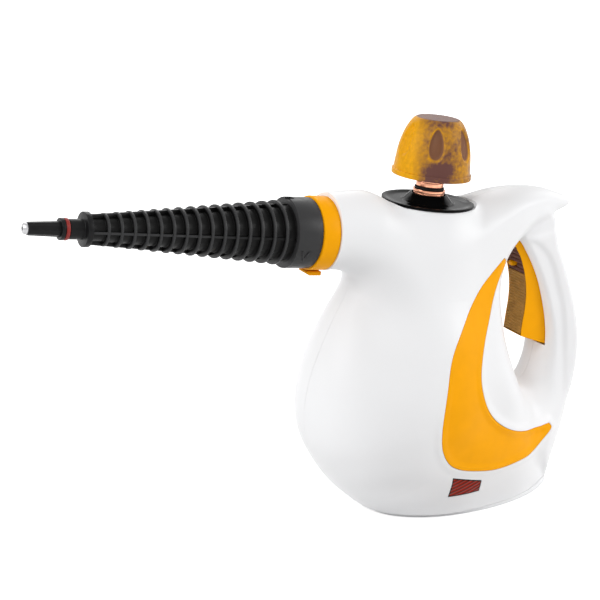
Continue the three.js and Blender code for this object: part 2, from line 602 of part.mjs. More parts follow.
// Housing: outer skin, cavity, cuts and inner features.
const stepOf = (close) => (close ? skin.close : skin.coarse);
const gridOf = (stops) => ticks(scaled(stops).map(([from, close]) => [from, stepOf(close)]));
const outer = netOf(bodyField, [gridOf(outerXShares), gridOf(outerYShares), gridOf(outerZShares)]);
const innerMarks = evenGrid(scaled(innerBoxShares), skin.innerStep);
const cavityRaw = netOf((x, y, z) => bodyField(x, y, z) + skin.wall, innerMarks);
const behindFace = rod(far * half, -far, -spout.faceBack, small, spoutFrame);
const aboveFoot = block([-far, -far, foot.thick + gap], [far, far, far]);
const seatKeep = rod(seat.keep, -(seat.depth + seat.floor), seat.keepTop, fine, capFrame);
const sleeveBore = rod(spout.bore, -skin.boreEnd, far, fine, spoutFrame);
const handleHollow = slab(scaled(handleHollowShares), -skin.handleHalf, skin.handleHalf);
const cavity = cavityRaw.add(sleeveBore).add(handleHollow).subtract(seatKeep);
const seatCut = turned(
  [
    [0, -seat.depth], [seat.pocket, -seat.depth], [seat.pocket + seat.step, 0],
    [seat.scoopRadius, seat.scoopRise], [seat.scoopFar, seat.scoopTop], [seat.scoopFar, seat.scoopFar],
    [0, seat.scoopFar],
  ],
  fine, capFrame,
);
const seatHole = rod(seat.hole, -seat.scoopFar, 0, fine, capFrame);

// An outline moved outward by a constant distance.
function grown(line, by) {
  const area = line.reduce((all, [x, z], i) => {
    const [nextX, nextZ] = line[(i + 1) % line.length];
    return all + x * nextZ - nextX * z;
  }, 0);
  const side = area > 0 ? by : -by;
  return line.map(([x, z], i) => {
    const [ax, az] = line[(i + line.length - 1) % line.length];
    const [bx, bz] = line[(i + 1) % line.length];
    const length = Math.hypot(bx - ax, bz - az);
    return [x + (side * (bz - az)) / length, z - (side * (bx - ax)) / length];
  });
}

// The crescent inlays and their wells on both sides.
const crescentLine = [...scaled(crescentOuterShares), ...scaled(crescentInnerShares)];
const wellLine = grown(crescentLine, skin.inlayGap);
const rightSide = (line, reach = far) => slab(line, skin.wall, reach);
const leftSide = (line, reach = far) => slab(line, -reach, -skin.wall);
const inlayMarks = evenGrid(scaled(inlayBoxShares), skin.inlayStep);
const under = (depth, marks = inlayMarks) => netOf((x, y, z) => bodyField(x, y, z) + depth, marks);
const belowInlay = under(skin.inlay);
const belowWell = under(skin.inlayDepth);

const lampLine = scaled(lampShares);
const lampCut = leftSide(grown(lampLine, gap), lamp.deep);
const slotCut = slab(scaled(slotShares), -trigger.slotHalf, trigger.slotHalf);
const pinFrame = acrossFrame(trigger.pivotX, trigger.pivotZ);
const pinHole = rod(trigger.pin + gap, -trigger.pinHalf - gap, trigger.pinHalf + gap, small, pinFrame);
const glandHole = rod(gland.radius + gap, -gland.inside - gap, far, plain, rearFrame(gland.x, gland.z));
const bossSpots = scaled(bossShares);
const footSpots = [-footScrew.x, footScrew.x].flatMap((x) => [[x, footScrew.y], [x, -footScrew.y]]);
const latchBack = latch.length - latch.ahead + latch.travel + gap;
const latchRoom = block(
  [-latch.width * half - gap, -far, -latchBack],
  [latch.width * half + gap, -ring.outer + latch.sink - gap, 0],
  spoutFrame,
);

const shellBody = outer
  .intersect(aboveFoot)
  .intersect(behindFace)
  .subtract(seatCut)
  .subtract(latchRoom);
const wallOnly = shellBody.subtract(cavity);

// A span from a distance beside the middle plane out to another, on one side of it.
const beside = (side, from, to) => (side > 0 ? [from, to] : [-to, -from]);

function bossesOf(side) {
  const [from, to] = beside(side, 0, far * half);
  return bossSpots.map(([x, z]) => rod(screw.boss, from, to, small, acrossFrame(x, z)));
}

function footPostsOf(side) {
  const spots = footSpots.filter(([, y]) => Math.sign(y) === side);
  return spots.flatMap(([x, y]) => {
    const [from, to] = beside(side, Math.abs(y), far);
    const low = foot.rimTop + gap;
    return [
      rod(footScrew.post, foot.thick + gap, footScrew.postTop, small, uprightFrame(x, y)),
      block([x - footScrew.web, from, low], [x + footScrew.web, to, footScrew.postTop]),
    ];
  });
}

function boilerShelf(side) {
  const top = -(boiler.split + boiler.flangeThick + boiler.gasket * half + gap);
  const [from, to] = beside(side, shelf.inner, far);
  return block([-shelf.reach, from, top - shelf.thick], [shelf.reach, to, top], capFrame);
}

function switchShelf(side) {
  const [from, to] = beside(side, switchBox.halfY + gap, far);
  return block(
    [switchBox.x - switchBox.halfX, from, switchBox.z - switchBox.shelf],
    [switchBox.x + switchBox.halfX, to, switchBox.z + switchBox.shelf],
  );
}

const pilotLow = screw.wellFloor - screw.length - gap;
const pilots = sum(
  bossSpots.map(([x, z]) => rod(screw.pilot, pilotLow, screw.wellFloor + gap, small, acrossFrame(x, z))),
);
const footPilots = sum(
  footSpots.map(([x, y]) => rod(screw.pilot, 0, footScrew.length + gap + gap, small, uprightFrame(x, y))),
);
const wells = sum(
  bossSpots.map(([x, z]) => rod(screw.well, screw.wellFloor, far, small, acrossFrame(x, z))),
);

function housing(side) {
  const [from, to] = beside(side, gap * half, far);
  const sideBlock = block([-far, from, -far], [far, to, far]);
  const inner = sum([...bossesOf(side), ...footPostsOf(side), boilerShelf(side), switchShelf(side)]);
  const wellCut = side > 0 ? rightSide(wellLine) : leftSide(wellLine);
  const made = wallOnly
    .add(inner.intersect(shellBody))
    .intersect(sideBlock)
    .subtract(seatHole)
    .subtract(slotCut)
    .subtract(pinHole)
    .subtract(glandHole)
    .subtract(pilots)
    .subtract(footPilots)
    .subtract(wellCut.subtract(belowWell))
    .subtract(side > 0 ? wells : lampCut);
  return made.decompose().reduce((most, one) => (one.volume() > most.volume() ? one : most));
}

// Materials and the scene graph.
const paint = (color, roughness, metalness = 0) =>
  new THREE.MeshStandardMaterial({ color, roughness, metalness });
const white = () => paint(0xf1f1f4, 0.25);
const yellow = () => paint(0xfdaf0c, 0.35);
const black = () => paint(0x28282a, 0.4);
const steel = () => paint(0xb9bcc0, 0.35, 1);
const brass = () => paint(0xc9825a, 0.3, 1);

const cleaner = new THREE.Group();
const spoutGroup = new THREE.Group();
spoutGroup.applyMatrix4(spoutFrame);
const capGroup = new THREE.Group();
capGroup.applyMatrix4(capFrame);
cleaner.add(spoutGroup, capGroup);

function part(name, made, material, group = cleaner) {
  const mesh = new THREE.Mesh(geometryOf(made), material);
  mesh.name = name;
  group.add(mesh);
}

part("housing_left", housing(-1), white());
part("housing_right", housing(1), white());
const inlaySkin = shellBody.subtract(belowInlay);
part("crescent_left", inlaySkin.intersect(leftSide(crescentLine)), yellow());
part("crescent_right", inlaySkin.intersect(rightSide(crescentLine)), yellow());

// Indicator lamp in the near side.
const lampXs = lampLine.map(([x]) => x);
const lampZs = lampLine.map(([, z]) => z);
const lampBox = [
  [Math.min(...lampXs) - lamp.margin, -lamp.deep - lamp.margin, Math.min(...lampZs) - lamp.margin],
  [Math.max(...lampXs) + lamp.margin, 0, Math.max(...lampZs) + lamp.margin],
];
const lampSkin = shellBody.subtract(under(lamp.thick, evenGrid(lampBox, lamp.step)));
const lens = lampSkin.intersect(leftSide(lampLine, lamp.deep)).subtract(cavity);
part("indicator_lens", lens, paint(0x962d19, 0.25));

// Foot plate with its rim, screw holes and the posts of the control board.
function footSlab(inset, short, low, high) {
  const oval = new THREE.EllipseCurve(0, 0, foot.halfLength - inset - short, foot.halfWidth - inset);
  const shape = new THREE.Shape(oval.getPoints(foot.sides).slice(0, -1));
  const geometry = new THREE.ExtrudeGeometry(shape, { depth: high - low, bevelEnabled: false });
  geometry.translate(0, 0, low);
  return solid(geometry);
}

const footRim = footSlab(foot.rimInset, foot.rimShort, foot.thick * half, foot.rimTop)
  .subtract(footSlab(foot.rimInset + foot.rimWall, foot.rimShort, 0, foot.rimTop + gap));
const sinkTop = screw.headTall + footScrew.recess + gap;
const footHoles = footSpots.flatMap(([x, y]) => [
  rod(screw.shank + gap, -gap, foot.rimTop, small, uprightFrame(x, y)),
  rod(footScrew.countersink, -gap, sinkTop, small, uprightFrame(x, y)),
]);
const boardPosts = [-board.postOut, board.postOut].map((out) =>
  rod(board.post, foot.thick * half, foot.thick + board.lift - gap, small, uprightFrame(board.x + out, 0)),
);
const footPlate = footSlab(0, 0, 0, foot.thick)
  .add(footRim)
  .subtract(sum(footHoles))
  .add(sum(boardPosts));
part("foot_plate", footPlate, white());

// Spout: yellow bayonet ring with its latch, in the spout frame.
const latchSlot = block(
  [-latch.width * half - gap, -far, -ring.length - gap],
  [latch.width * half + gap, -ring.outer + latch.sink - gap, gap],
);
const turnedBy = (angle) => new THREE.Matrix4().makeRotationZ(angle);
const entries = [0, Math.PI].map((angle) =>
  block(
    [ring.bore - ring.edge - ring.edge, -lug.slot * half, -ring.lip - gap],
    [ring.recess - ring.edge, lug.slot * half, gap],
    turnedBy(radians(lug.turn) + angle),
  ),
);
const ringBody = turned(
  [
    [ring.recess, -ring.length - ring.spigotLength], [ring.spigot, -ring.length - ring.spigotLength],
    [ring.spigot, -ring.length], [ring.outer, -ring.length], [ring.outer, -ring.edge],
    [ring.outer - ring.edge, 0], [ring.bore, 0], [ring.bore, -ring.lip], [ring.recess, -ring.lip],
    [ring.recess, -ring.length - ring.spigotLength],
  ],
  fine,
);
part("nozzle_ring", ringBody.subtract(latchSlot).subtract(sum(entries)), yellow(), spoutGroup);

const latchTop = -ring.outer + latch.sink - gap - gap;
const latchLow = -ring.outer - latch.rise;
const latchShape = new THREE.Shape(
  [
    [latch.ahead - latch.length, latchTop], [latch.ahead, latchTop],
    [latch.ahead, latchTop - latch.rise * half],
    [latch.ahead - latch.chamfer, latchLow], [latch.ahead - latch.length, latchLow],
  ].map(([along, up]) => new THREE.Vector2(along, up)),
);
const latchGeometry = new THREE.ExtrudeGeometry(latchShape, { depth: latch.width, bevelEnabled: false });
latchGeometry.rotateY(-Math.PI * half);
latchGeometry.translate(latch.width * half, 0, 0);
part("nozzle_latch", solid(latchGeometry), yellow(), spoutGroup);

// Long nozzle: collar, shrinking ribs over a slimmer core, four webs, flange, rod and tip.
function ribLines() {
  const line = [];
  const last = nozzle.ribs - 1;
  for (let n = 0; n <= last; n++) {
    const share = n / last;
    const rib = nozzle.ribBase + (nozzle.ribTip - nozzle.ribBase) * share;
    const core = rib * (nozzle.coreBaseShare + (nozzle.coreTipShare - nozzle.coreBaseShare) * share);
    const mid = nozzle.ribFirst + nozzle.ribPitch * n;
    const low = mid - nozzle.ribThick * half;
    const high = mid + nozzle.ribThick * half;
    const next = n === last ? nozzle.flangeStart : low + nozzle.ribPitch;
    if (n === 0) line.push([nozzle.neck, nozzle.collarEnd], [nozzle.neck, low]);
    line.push([rib, low], [rib, high], [core, high], [core, next]);
  }
  return line;
}

function nozzleProfile() {
  const back = nozzle.collarStart - nozzle.spigotBack;
  return [
    [nozzle.hollow, back], [nozzle.spigot, back], [nozzle.spigot, nozzle.collarStart],
    [nozzle.collar, nozzle.collarStart], [nozzle.collar, nozzle.collarEnd], ...ribLines(),
    [nozzle.flange, nozzle.flangeStart], [nozzle.flange, nozzle.flangeEnd], [nozzle.rod, nozzle.flangeEnd],
    [nozzle.rod, nozzle.rodEnd], [nozzle.ringSeat, nozzle.rodEnd], [nozzle.ringSeat, nozzle.ringEnd],
    [nozzle.collet, nozzle.ringEnd], [nozzle.collet, nozzle.colletEnd], [nozzle.tipBase, nozzle.colletEnd],
    [nozzle.tip, nozzle.tipEnd], [nozzle.bore, nozzle.tipEnd], [nozzle.hollow * half, nozzle.ribFirst],
    [nozzle.hollow, nozzle.collarStart], [nozzle.hollow, back],
  ];
}

const lugs = [0, Math.PI].map((angle) =>
  block(
    [lug.inner - nozzle.ribThick, -lug.width * half, -lug.end], [lug.outer, lug.width * half, -lug.start],
    turnedBy(angle),
  ),
);
const quarter = Math.PI * half;
const webRoot = nozzle.ribBase * nozzle.webShare;
const webTip = nozzle.ribTip * nozzle.webShare;
const webs = [0, quarter, quarter * 2, quarter * 3].map((angle) => {
  const shape = new THREE.Shape(
    [
      [nozzle.hollow, nozzle.collarEnd - nozzle.ribThick], [webRoot, nozzle.collarEnd - nozzle.ribThick],
      [webRoot, nozzle.ribFirst], [webTip, nozzle.flangeStart + nozzle.ribThick],
      [nozzle.rod, nozzle.flangeStart + nozzle.ribThick],
    ].map(([r, h]) => new THREE.Vector2(r, h)),
  );
  const geometry = new THREE.ExtrudeGeometry(shape, { depth: nozzle.web, bevelEnabled: false });
  geometry.translate(0, 0, -nozzle.web * half);
  geometry.rotateX(quarter);
  geometry.rotateZ(angle);
  return solid(geometry);
});
const collarNotch = block(
  [-nozzle.notchWide * half, nozzle.collar - nozzle.notchDeep, nozzle.collarEnd - nozzle.notchLong],
  [nozzle.notchWide * half, far, nozzle.collarEnd + gap],
);
const nozzleBody = sum([turned(nozzleProfile(), nozzle.sides), ...lugs, ...webs])
  .subtract(collarNotch)
  .subtract(rod(insert.outer + gap, insert.start - gap, far, plain));
part("long_nozzle", nozzleBody, black(), spoutGroup);

const tipInsert = turned([
  [insert.bore, insert.start], [insert.outer, insert.start], [insert.outer, nozzle.tipEnd + gap],
  [insert.lipOuter, nozzle.tipEnd + gap], [insert.step, insert.end], [insert.bore, insert.end],
  [insert.bore, insert.start],
]);
part("nozzle_tip_insert", tipInsert, steel(), spoutGroup);

const sealInner = sealRing.inner + gap * half;
const oRing = turned([
  [sealInner, sealRing.start], [sealRing.outer - sealRing.edge, sealRing.start],
  [sealRing.outer, sealRing.start + sealRing.edge], [sealRing.outer, sealRing.end - sealRing.edge],
  [sealRing.outer - sealRing.edge, sealRing.end], [sealInner, sealRing.end], [sealInner, sealRing.start],
]);
part("nozzle_o_ring", oRing, paint(0xc8401c, 0.5), spoutGroup);

// Steam path: connector behind the ring, valve block, solenoid, armature.
const connectorBody = turned([
  [connector.bore, -connector.rear], [connector.outer, -connector.rear],
  [connector.outer, -connector.flangeRear], [connector.flange, -connector.flangeRear],
  [connector.flange, -connector.flangeFront], [connector.nose, -connector.flangeFront],
  [connector.nose, -connector.front], [connector.bore, -connector.front], [connector.bore, -connector.rear],
]);
part("spout_connector", connectorBody, brass(), spoutGroup);

const downward = new THREE.Vector3(0, -1, 0);
const coilMiddle = -(solenoid.rear + solenoid.front) * half;
const coilFrame = frameAt(0, -solenoid.drop, coilMiddle, downward, vertical);
const guideFrame = frameAt(0, valve.boreDepth - valve.low, coilMiddle, downward, vertical);
const valveBody = block(
  [-valve.wide * half, -valve.low, -valve.rear], [valve.wide * half, valve.top, -valve.front],
)
  .subtract(rod(valve.through, -valve.rear - gap, -valve.front + gap, small))
  .subtract(rod(solenoid.bore, 0, far, small, guideFrame));
part("steam_valve", valveBody, brass(), spoutGroup);

const coilBody = block(
  [-solenoid.wide * half, -solenoid.drop - solenoid.tall, -solenoid.rear],
  [solenoid.wide * half, -solenoid.drop, -solenoid.front],
).subtract(rod(solenoid.bore, -gap, solenoid.coreTall + solenoid.travel, small, coilFrame));
part("solenoid_coil", coilBody, paint(0x3a3f46, 0.6), spoutGroup);
const coreTop = solenoid.coreTall - solenoid.coreDrop - solenoid.travel;
const armature = rod(solenoid.core, -solenoid.coreDrop, coreTop, small, coilFrame);
part("valve_armature", armature, steel(), spoutGroup);

// Filler: dished disc, neck, cap with its core, stem, seal and spring.
const discBody = turned(
  [
    [disc.bore, -disc.base], [disc.outer, -disc.base], [disc.outer, 0], [disc.rimIn, 0],
    [disc.dishOut, -disc.dish], [disc.dishIn, -disc.dish], [disc.bossFoot, 0], [disc.boss, disc.bossTop],
    [disc.bore, disc.bossTop], [disc.bore, -disc.base],
  ],
  disc.sides,
);
part("funnel_disc", discBody, paint(0x101012, 0.12), capGroup);

const neckBody = turned([
  [neck.bore, -neck.foot], [neck.flange, -neck.foot], [neck.flange, -neck.foot + neck.flangeThick],
  [neck.outer, -neck.foot + neck.flangeThick], [neck.outer, neck.grooveLow],
  [neck.grooveRadius, neck.grooveLow], [neck.grooveRadius, neck.grooveHigh],
  [neck.outer, neck.grooveHigh], [neck.outer, neck.top],
  [neck.bore, neck.top], [neck.bore, -neck.foot],
]);
part("filler_neck", neckBody, brass(), capGroup);

const capInner = scaled(capInnerShares);
const capProfile = [
  ...[...capInner].reverse(), [cap.lip, cap.low], [cap.lip, cap.lipTop], ...scaled(capSideShares),
  [0, cap.top],
];
const flutes = Array.from({ length: cap.flutes }, (_, i) => {
  const geometry = new THREE.SphereGeometry(1, cap.fluteSides, cap.fluteRings);
  geometry.scale(cap.fluteDeep, cap.fluteWide, cap.fluteTall);
  geometry.rotateY(-radians(cap.fluteLean));
  geometry.translate(cap.fluteRadius, 0, cap.fluteAt);
  geometry.rotateZ((i / cap.flutes) * Math.PI * 2);
  return solid(geometry);
});
part("cap_knob", turned(capProfile, fine).subtract(sum(flutes)), paint(0xc98a2c, 0.3), capGroup);

const coreBody = turned([
  [core.bore, core.deck - gap], [core.hub, core.deck - gap], [core.hub, core.low], [core.plate, core.low],
  [core.plate, core.deck], [core.hub, core.deck], [core.hub, core.top], [core.bore, core.top],
  [core.bore, core.deck - gap],
]);
part("cap_core", coreBody, black(), capGroup);

const threadProfile = Array.from({ length: stem.threads }, (_, n) => {
  const low = stem.low + stem.pitch * (n + half);
  const rise = stem.crest - stem.thread;
  return stem.threadShares.map(([out, up]) => [stem.thread + rise * out, low + stem.pitch * up]);
}).flat();
const stemBody = turned([
  [0, stem.ventTop], [stem.vent, stem.ventTop], [stem.vent, stem.low], [stem.thread, stem.low],
  ...threadProfile,
  [stem.thread, stem.collarLow], [stem.collar, stem.collarLow], [stem.collar, stem.collarTop],
  [stem.shank, stem.collarTop], [stem.shank, stem.shankTop], [0, stem.shankTop],
]);
part("cap_stem", stemBody, brass(), capGroup);
const capRing = tube(capSeal.inner, capSeal.outer, capSeal.low, capSeal.top);
part("cap_seal", capRing, paint(0x1b1b1c, 0.8), capGroup);
part("cap_spring", coil(capSpring), steel(), capGroup);

// Boiler in the cap frame: two steel shells, a gasket and four bolts.
const boltSpots = Array.from({ length: bolt.count }, (_, i) => {
  const angle = ((i + half) / bolt.count) * Math.PI * 2;
  return uprightFrame(boiler.boltRing * Math.cos(angle), boiler.boltRing * Math.sin(angle));
});
const boltHoles = sum(boltSpots.map((spot) => rod(boiler.boltHole, -far, 0, small, spot)));
const lowTop = -boiler.split - boiler.gasket * half - gap;
const highLow = -boiler.split + boiler.gasket * half + gap;
const lowShell = turned(
  [
    [0, -boiler.low], [boiler.radius - boiler.corner, -boiler.low],
    [boiler.radius, -boiler.low + boiler.corner], [boiler.radius, lowTop - boiler.flangeThick],
    [boiler.flange, lowTop - boiler.flangeThick],
    [boiler.flange, lowTop], [boiler.inner, lowTop],
    [boiler.inner, -boiler.low + boiler.corner + boiler.wall * half],
    [boiler.radius - boiler.corner - boiler.wall * half, -boiler.low + boiler.wall],
    [0, -boiler.low + boiler.wall],
  ],
  boiler.sides,
);
part("boiler_lower", lowShell.subtract(boltHoles), steel(), capGroup);

const domeTop = -neck.foot - gap;
const highShell = turned(
  [
    [boiler.flange, highLow], [boiler.flange, highLow + boiler.flangeThick],
    [boiler.radius, highLow + boiler.flangeThick], [boiler.shoulder, domeTop - boiler.wall],
    [boiler.shoulder - boiler.wall, domeTop], [neck.bore, domeTop], [neck.bore, domeTop - boiler.wall],
    [boiler.shoulder - boiler.wall - boiler.wall, domeTop - boiler.wall],
    [boiler.inner, highLow + boiler.flangeThick - boiler.wall * half], [boiler.inner, highLow],
    [boiler.flange, highLow],
  ],
  boiler.sides,
);
const outletHole = rod(boiler.outletHole, domeTop - far, far, small, uprightFrame(-boiler.outlet, 0));
part("boiler_upper", highShell.subtract(boltHoles).subtract(outletHole), steel(), capGroup);

const gasketHalf = boiler.gasket * half;
const gasketEnds = [-boiler.split - gasketHalf, -boiler.split + gasketHalf];
const gasketRing = tube(boiler.inner, boiler.flange, ...gasketEnds, boiler.sides);
part("boiler_gasket", gasketRing.subtract(boltHoles), paint(0x8b3a2a, 0.7), capGroup);

const boltUnder = highLow + boiler.flangeThick + gap;
const nutTop = lowTop - boiler.flangeThick - gap;
const boltProfile = [
  [0, nutTop - bolt.nut], [bolt.head, nutTop - bolt.nut], [bolt.head, nutTop], [bolt.shank, nutTop],
  [bolt.shank, boltUnder], [bolt.head, boltUnder], [bolt.head, boltUnder + bolt.headTall],
  [0, boltUnder + bolt.headTall],
];
boltSpots.forEach((spot, i) => {
  part(`boiler_bolt_${i + 1}`, turned(boltProfile, bolt.sides, spot), steel(), capGroup);
});

// Heater, thermostat and fuse under and beside the boiler.
class HeaterLine extends THREE.Curve {
  getPoint(t, target = new THREE.Vector3()) {
    const angle = Math.PI + radians(heater.sweep) * (t - half);
    const height = -boiler.low - heater.drop - gap * half;
    return target.set(heater.coil * Math.cos(angle), heater.coil * Math.sin(angle), height);
  }
}
const heaterBody = swept(new HeaterLine(), heater.wire, heater.sides, heater.steps);
part("heating_element", heaterBody, steel(), capGroup);

const statTop = -boiler.low - gap;
const statBody = turned([
  [0, statTop - thermostat.tall], [thermostat.radius, statTop - thermostat.tall],
  [thermostat.radius, statTop - thermostat.baseThick], [thermostat.base, statTop - thermostat.baseThick],
  [thermostat.base, statTop], [0, statTop],
]);
part("thermostat", statBody, paint(0x2f2f31, 0.6), capGroup);

const rearward = new THREE.Vector3(1, 0, 0);
const fuseFrame = frameAt(boiler.radius + fuse.out, 0, -fuse.drop, vertical, rearward);
const fuseBody = rod(fuse.radius, -fuse.length * half, fuse.length * half, small, fuseFrame);
part("thermal_fuse", fuseBody, paint(0xe8e2d0, 0.6), capGroup);

// Steam tube from the boiler's dome to the back of the valve.
const steamPoints = scaled(steamLineShares).map(([x, z]) => new THREE.Vector3(x, 0, z));
const steamCurve = new THREE.CatmullRomCurve3(steamPoints, false, "centripetal");
part("steam_tube", swept(steamCurve, steamTube.radius, steamTube.sides, steamTube.steps), brass());

// Trigger with its ribbed pad, lock, pin, spring and switch.
const padLine = scaled(padShares);
const padFar = [...padLine].reverse().map(([x, z]) => [x - far * half, z]);
const padCut = [...padLine.map(([x, z]) => [x + trigger.padDepth + gap, z]), ...padFar];
const padWell = slab(padCut, -trigger.padHalf - gap, trigger.padHalf + gap);
const lockSlot = block(
  [lock.x - far * half, lock.y - lock.slotHalf - lock.halfWidth, lock.z - lock.tall * half - gap],
  [lock.x + lock.deep + gap, lock.y + lock.halfWidth + gap, lock.z + lock.tall * half + gap],
);
const pinEye = rod(trigger.eye, -far, far, small, pinFrame);
const [[springX, springZ], [springEnd]] = scaled(springShares);
const springFrame = rearFrame(0, springZ);
const springRoom = spring.radius + spring.wire + gap + gap;
const springWell = rod(springRoom, springX - gap - gap, far, small, springFrame);
const triggerBody = slab(scaled(triggerShares), -trigger.halfWidth, trigger.halfWidth)
  .subtract(padWell)
  .subtract(lockSlot)
  .subtract(pinEye)
  .subtract(springWell);
part("trigger", triggerBody, yellow());

// Front of the pad at a height, between the points of its line.
function padFront(z) {
  const i = Math.min(padLine.length - 2, Math.max(0, padLine.findIndex(([, high]) => high >= z) - 1));
  const [ax, az] = padLine[i];
  const [bx, bz] = padLine[i + 1];
  return ax + ((bx - ax) * (z - az)) / (bz - az);
}

function ribbed(low, high, count, sink) {
  const pitch = (high - low) / count;
  return Array.from({ length: count }, (_, n) =>
    ribShares.map(([along, out]) => {
      const z = low + pitch * (n + along);
      return [padFront(z) + sink - out * trigger.rib, z];
    }),
  ).flat();
}
const padLow = padLine[0][1] + gap;
const padTop = padLine[padLine.length - 1][1] - gap;
const padRibs = [
  ...ribbed(padLow, trigger.padMid, trigger.ribs, 0),
  ...ribbed(trigger.padMid, padTop, trigger.coarse, trigger.coarseSink),
];
const padHeights = [padTop, ...[...padLine].reverse().slice(1, -1).map(([, z]) => z), padLow];
const padBack = padHeights.map((z) => [padFront(z) + trigger.padDepth, z]);
const padBody = slab([...padRibs, ...padBack], -trigger.padHalf, trigger.padHalf).subtract(lockSlot);
part("trigger_pad", padBody, paint(0x4a3226, 0.6));

const lockBody = block(
  [padFront(lock.z) - lock.proud, lock.y - lock.halfWidth, lock.z - lock.tall * half],
  [lock.x + lock.deep, lock.y + lock.halfWidth, lock.z + lock.tall * half],
);
part("trigger_lock", lockBody, yellow());
part("trigger_pin", rod(trigger.pin, -trigger.pinHalf, trigger.pinHalf, small, pinFrame), steel());
const springGroup = new THREE.Group();
springGroup.applyMatrix4(springFrame);
cleaner.add(springGroup);
part("trigger_spring", coil({ ...spring, low: springX, top: springEnd }), steel(), springGroup);

const switchFront = switchBox.x - switchBox.halfX;
const plungerFrame = rearFrame(0, switchBox.z);
const switchBody = block(
  [switchFront, -switchBox.halfY, switchBox.z - switchBox.halfZ],
  [switchBox.x + switchBox.halfX, switchBox.halfY, switchBox.z + switchBox.halfZ],
).subtract(rod(switchBox.hole, -far, switchFront + switchBox.holeDeep, small, plungerFrame));
part("micro_switch", switchBody, black());
const plungerEnds = [switchFront - switchBox.plungerOut, switchFront + switchBox.plungerIn];
part("switch_plunger", rod(switchBox.plunger, ...plungerEnds, small, plungerFrame), paint(0xb03020, 0.5));

// Screws, gland, terminal block and board.
const screwLow = screw.wellFloor + gap;
const screwProfile = [
  [0, screwLow - screw.length], [screw.shank, screwLow - screw.length], [screw.shank, screwLow],
  [screw.head, screwLow], [screw.head, screwLow + screw.headTall], [0, screwLow + screw.headTall],
];
bossSpots.forEach(([x, z], i) => {
  part(`housing_screw_${i + 1}`, turned(screwProfile, screw.sides, acrossFrame(x, z)), steel());
});
const footHead = screw.head - gap;
const footScrewProfile = [
  [0, footScrew.recess], [footHead, footScrew.recess], [footHead, footScrew.recess + screw.headTall],
  [screw.shank, footScrew.recess + screw.headTall], [screw.shank, footScrew.length], [0, footScrew.length],
];
footSpots.forEach(([x, y], i) => {
  part(`foot_screw_${i + 1}`, turned(footScrewProfile, screw.sides, uprightFrame(x, y)), steel());
});
const glandBody = turned(
  [
    [gland.bore, -gland.inside], [gland.flange, -gland.inside],
    [gland.flange, gland.flangeThick - gland.inside], [gland.radius, gland.flangeThick - gland.inside],
    [gland.radius, -gland.flush], [gland.bore, -gland.flush],
    [gland.bore, -gland.inside],
  ],
  plain, rearFrame(gland.x, gland.z),
);
part("cord_gland", glandBody, black());
const terminalBody = block(
  [terminal.x - terminal.length * half, -terminal.wide * half, foot.thick + gap],
  [terminal.x + terminal.length * half, terminal.wide * half, foot.thick + gap + terminal.tall],
);
part("terminal_block", terminalBody, paint(0xd8d4c8, 0.6));
const boardBody = block(
  [board.x - board.length * half, -board.wide * half, foot.thick + board.lift],
  [board.x + board.length * half, board.wide * half, foot.thick + board.lift + board.thick],
);
part("control_board", boardBody, paint(0x2f6b3a, 0.6));


export default cleaner;
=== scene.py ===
"""A handheld steam cleaner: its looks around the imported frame. Metres, +Z up, the nozzle points to -X."""
import json
from math import atan2, cos, hypot, pi, radians, sin
from types import SimpleNamespace

import bmesh
import bpy
import numpy as np
from mathutils import Matrix, Vector


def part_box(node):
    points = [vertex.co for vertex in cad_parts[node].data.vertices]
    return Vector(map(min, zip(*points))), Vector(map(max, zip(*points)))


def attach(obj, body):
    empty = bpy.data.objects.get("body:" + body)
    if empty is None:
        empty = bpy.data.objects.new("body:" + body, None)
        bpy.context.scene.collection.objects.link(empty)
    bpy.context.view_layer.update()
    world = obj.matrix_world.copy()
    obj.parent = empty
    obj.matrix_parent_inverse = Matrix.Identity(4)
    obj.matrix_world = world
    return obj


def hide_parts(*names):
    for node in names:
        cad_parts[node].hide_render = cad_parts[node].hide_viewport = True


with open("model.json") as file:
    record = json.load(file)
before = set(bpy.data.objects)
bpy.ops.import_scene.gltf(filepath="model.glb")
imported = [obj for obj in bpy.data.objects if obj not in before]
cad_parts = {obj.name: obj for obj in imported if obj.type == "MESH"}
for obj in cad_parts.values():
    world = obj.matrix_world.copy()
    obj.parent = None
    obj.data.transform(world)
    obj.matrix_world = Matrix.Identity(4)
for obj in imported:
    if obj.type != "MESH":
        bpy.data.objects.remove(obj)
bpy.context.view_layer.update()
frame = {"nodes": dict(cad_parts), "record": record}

MM = 0.001
SPAN = 200 * MM  # reference span of the share tables
GAP = 0.3 * MM  # clearance between neighbours
OVERRUN = 300 * MM  # longer than the whole object
MERGE = 0.0005 * MM  # points closer than this are one
FINE_SIDES = 96
HIDDEN_SIDES = 32
ARC_STEPS = 3
CORNER_SHARE = 0.45  # of a side that a rounded corner may take
FADE_LIMIT = 60  # beyond it a fade no longer changes
LINE_STEPS = 8  # points of a curved outline for each one of its table
INLAY_STEPS = 6
SMOOTH_ANGLE = 32
BEVEL_ANGLE = 35
TINY = 1e-9
FAR_WEIGHT = 1e-12  # keeps a blend defined far from all its stations
FAR_LOW = (-OVERRUN, -OVERRUN, -OVERRUN)
FAR_HIGH = (OVERRUN, OVERRUN, OVERRUN)


def sizes(plain=None, **lengths):
    """Named lengths, written in millimetres and kept in metres. Plain values are kept as they are."""
    for name, value in lengths.items():
        lengths[name] = tuple(v * MM for v in value) if isinstance(value, tuple) else value * MM
    return SimpleNamespace(**(plain or {}), **lengths)


# The camera: its angles, the focal length in pixels of the frame and the place that it looks at.
view = sizes(dict(yaw=27.5, tilt=18.5, focal=1677, frame=600, sensor=36), distance=1000, x=-115.19, z=147.53)
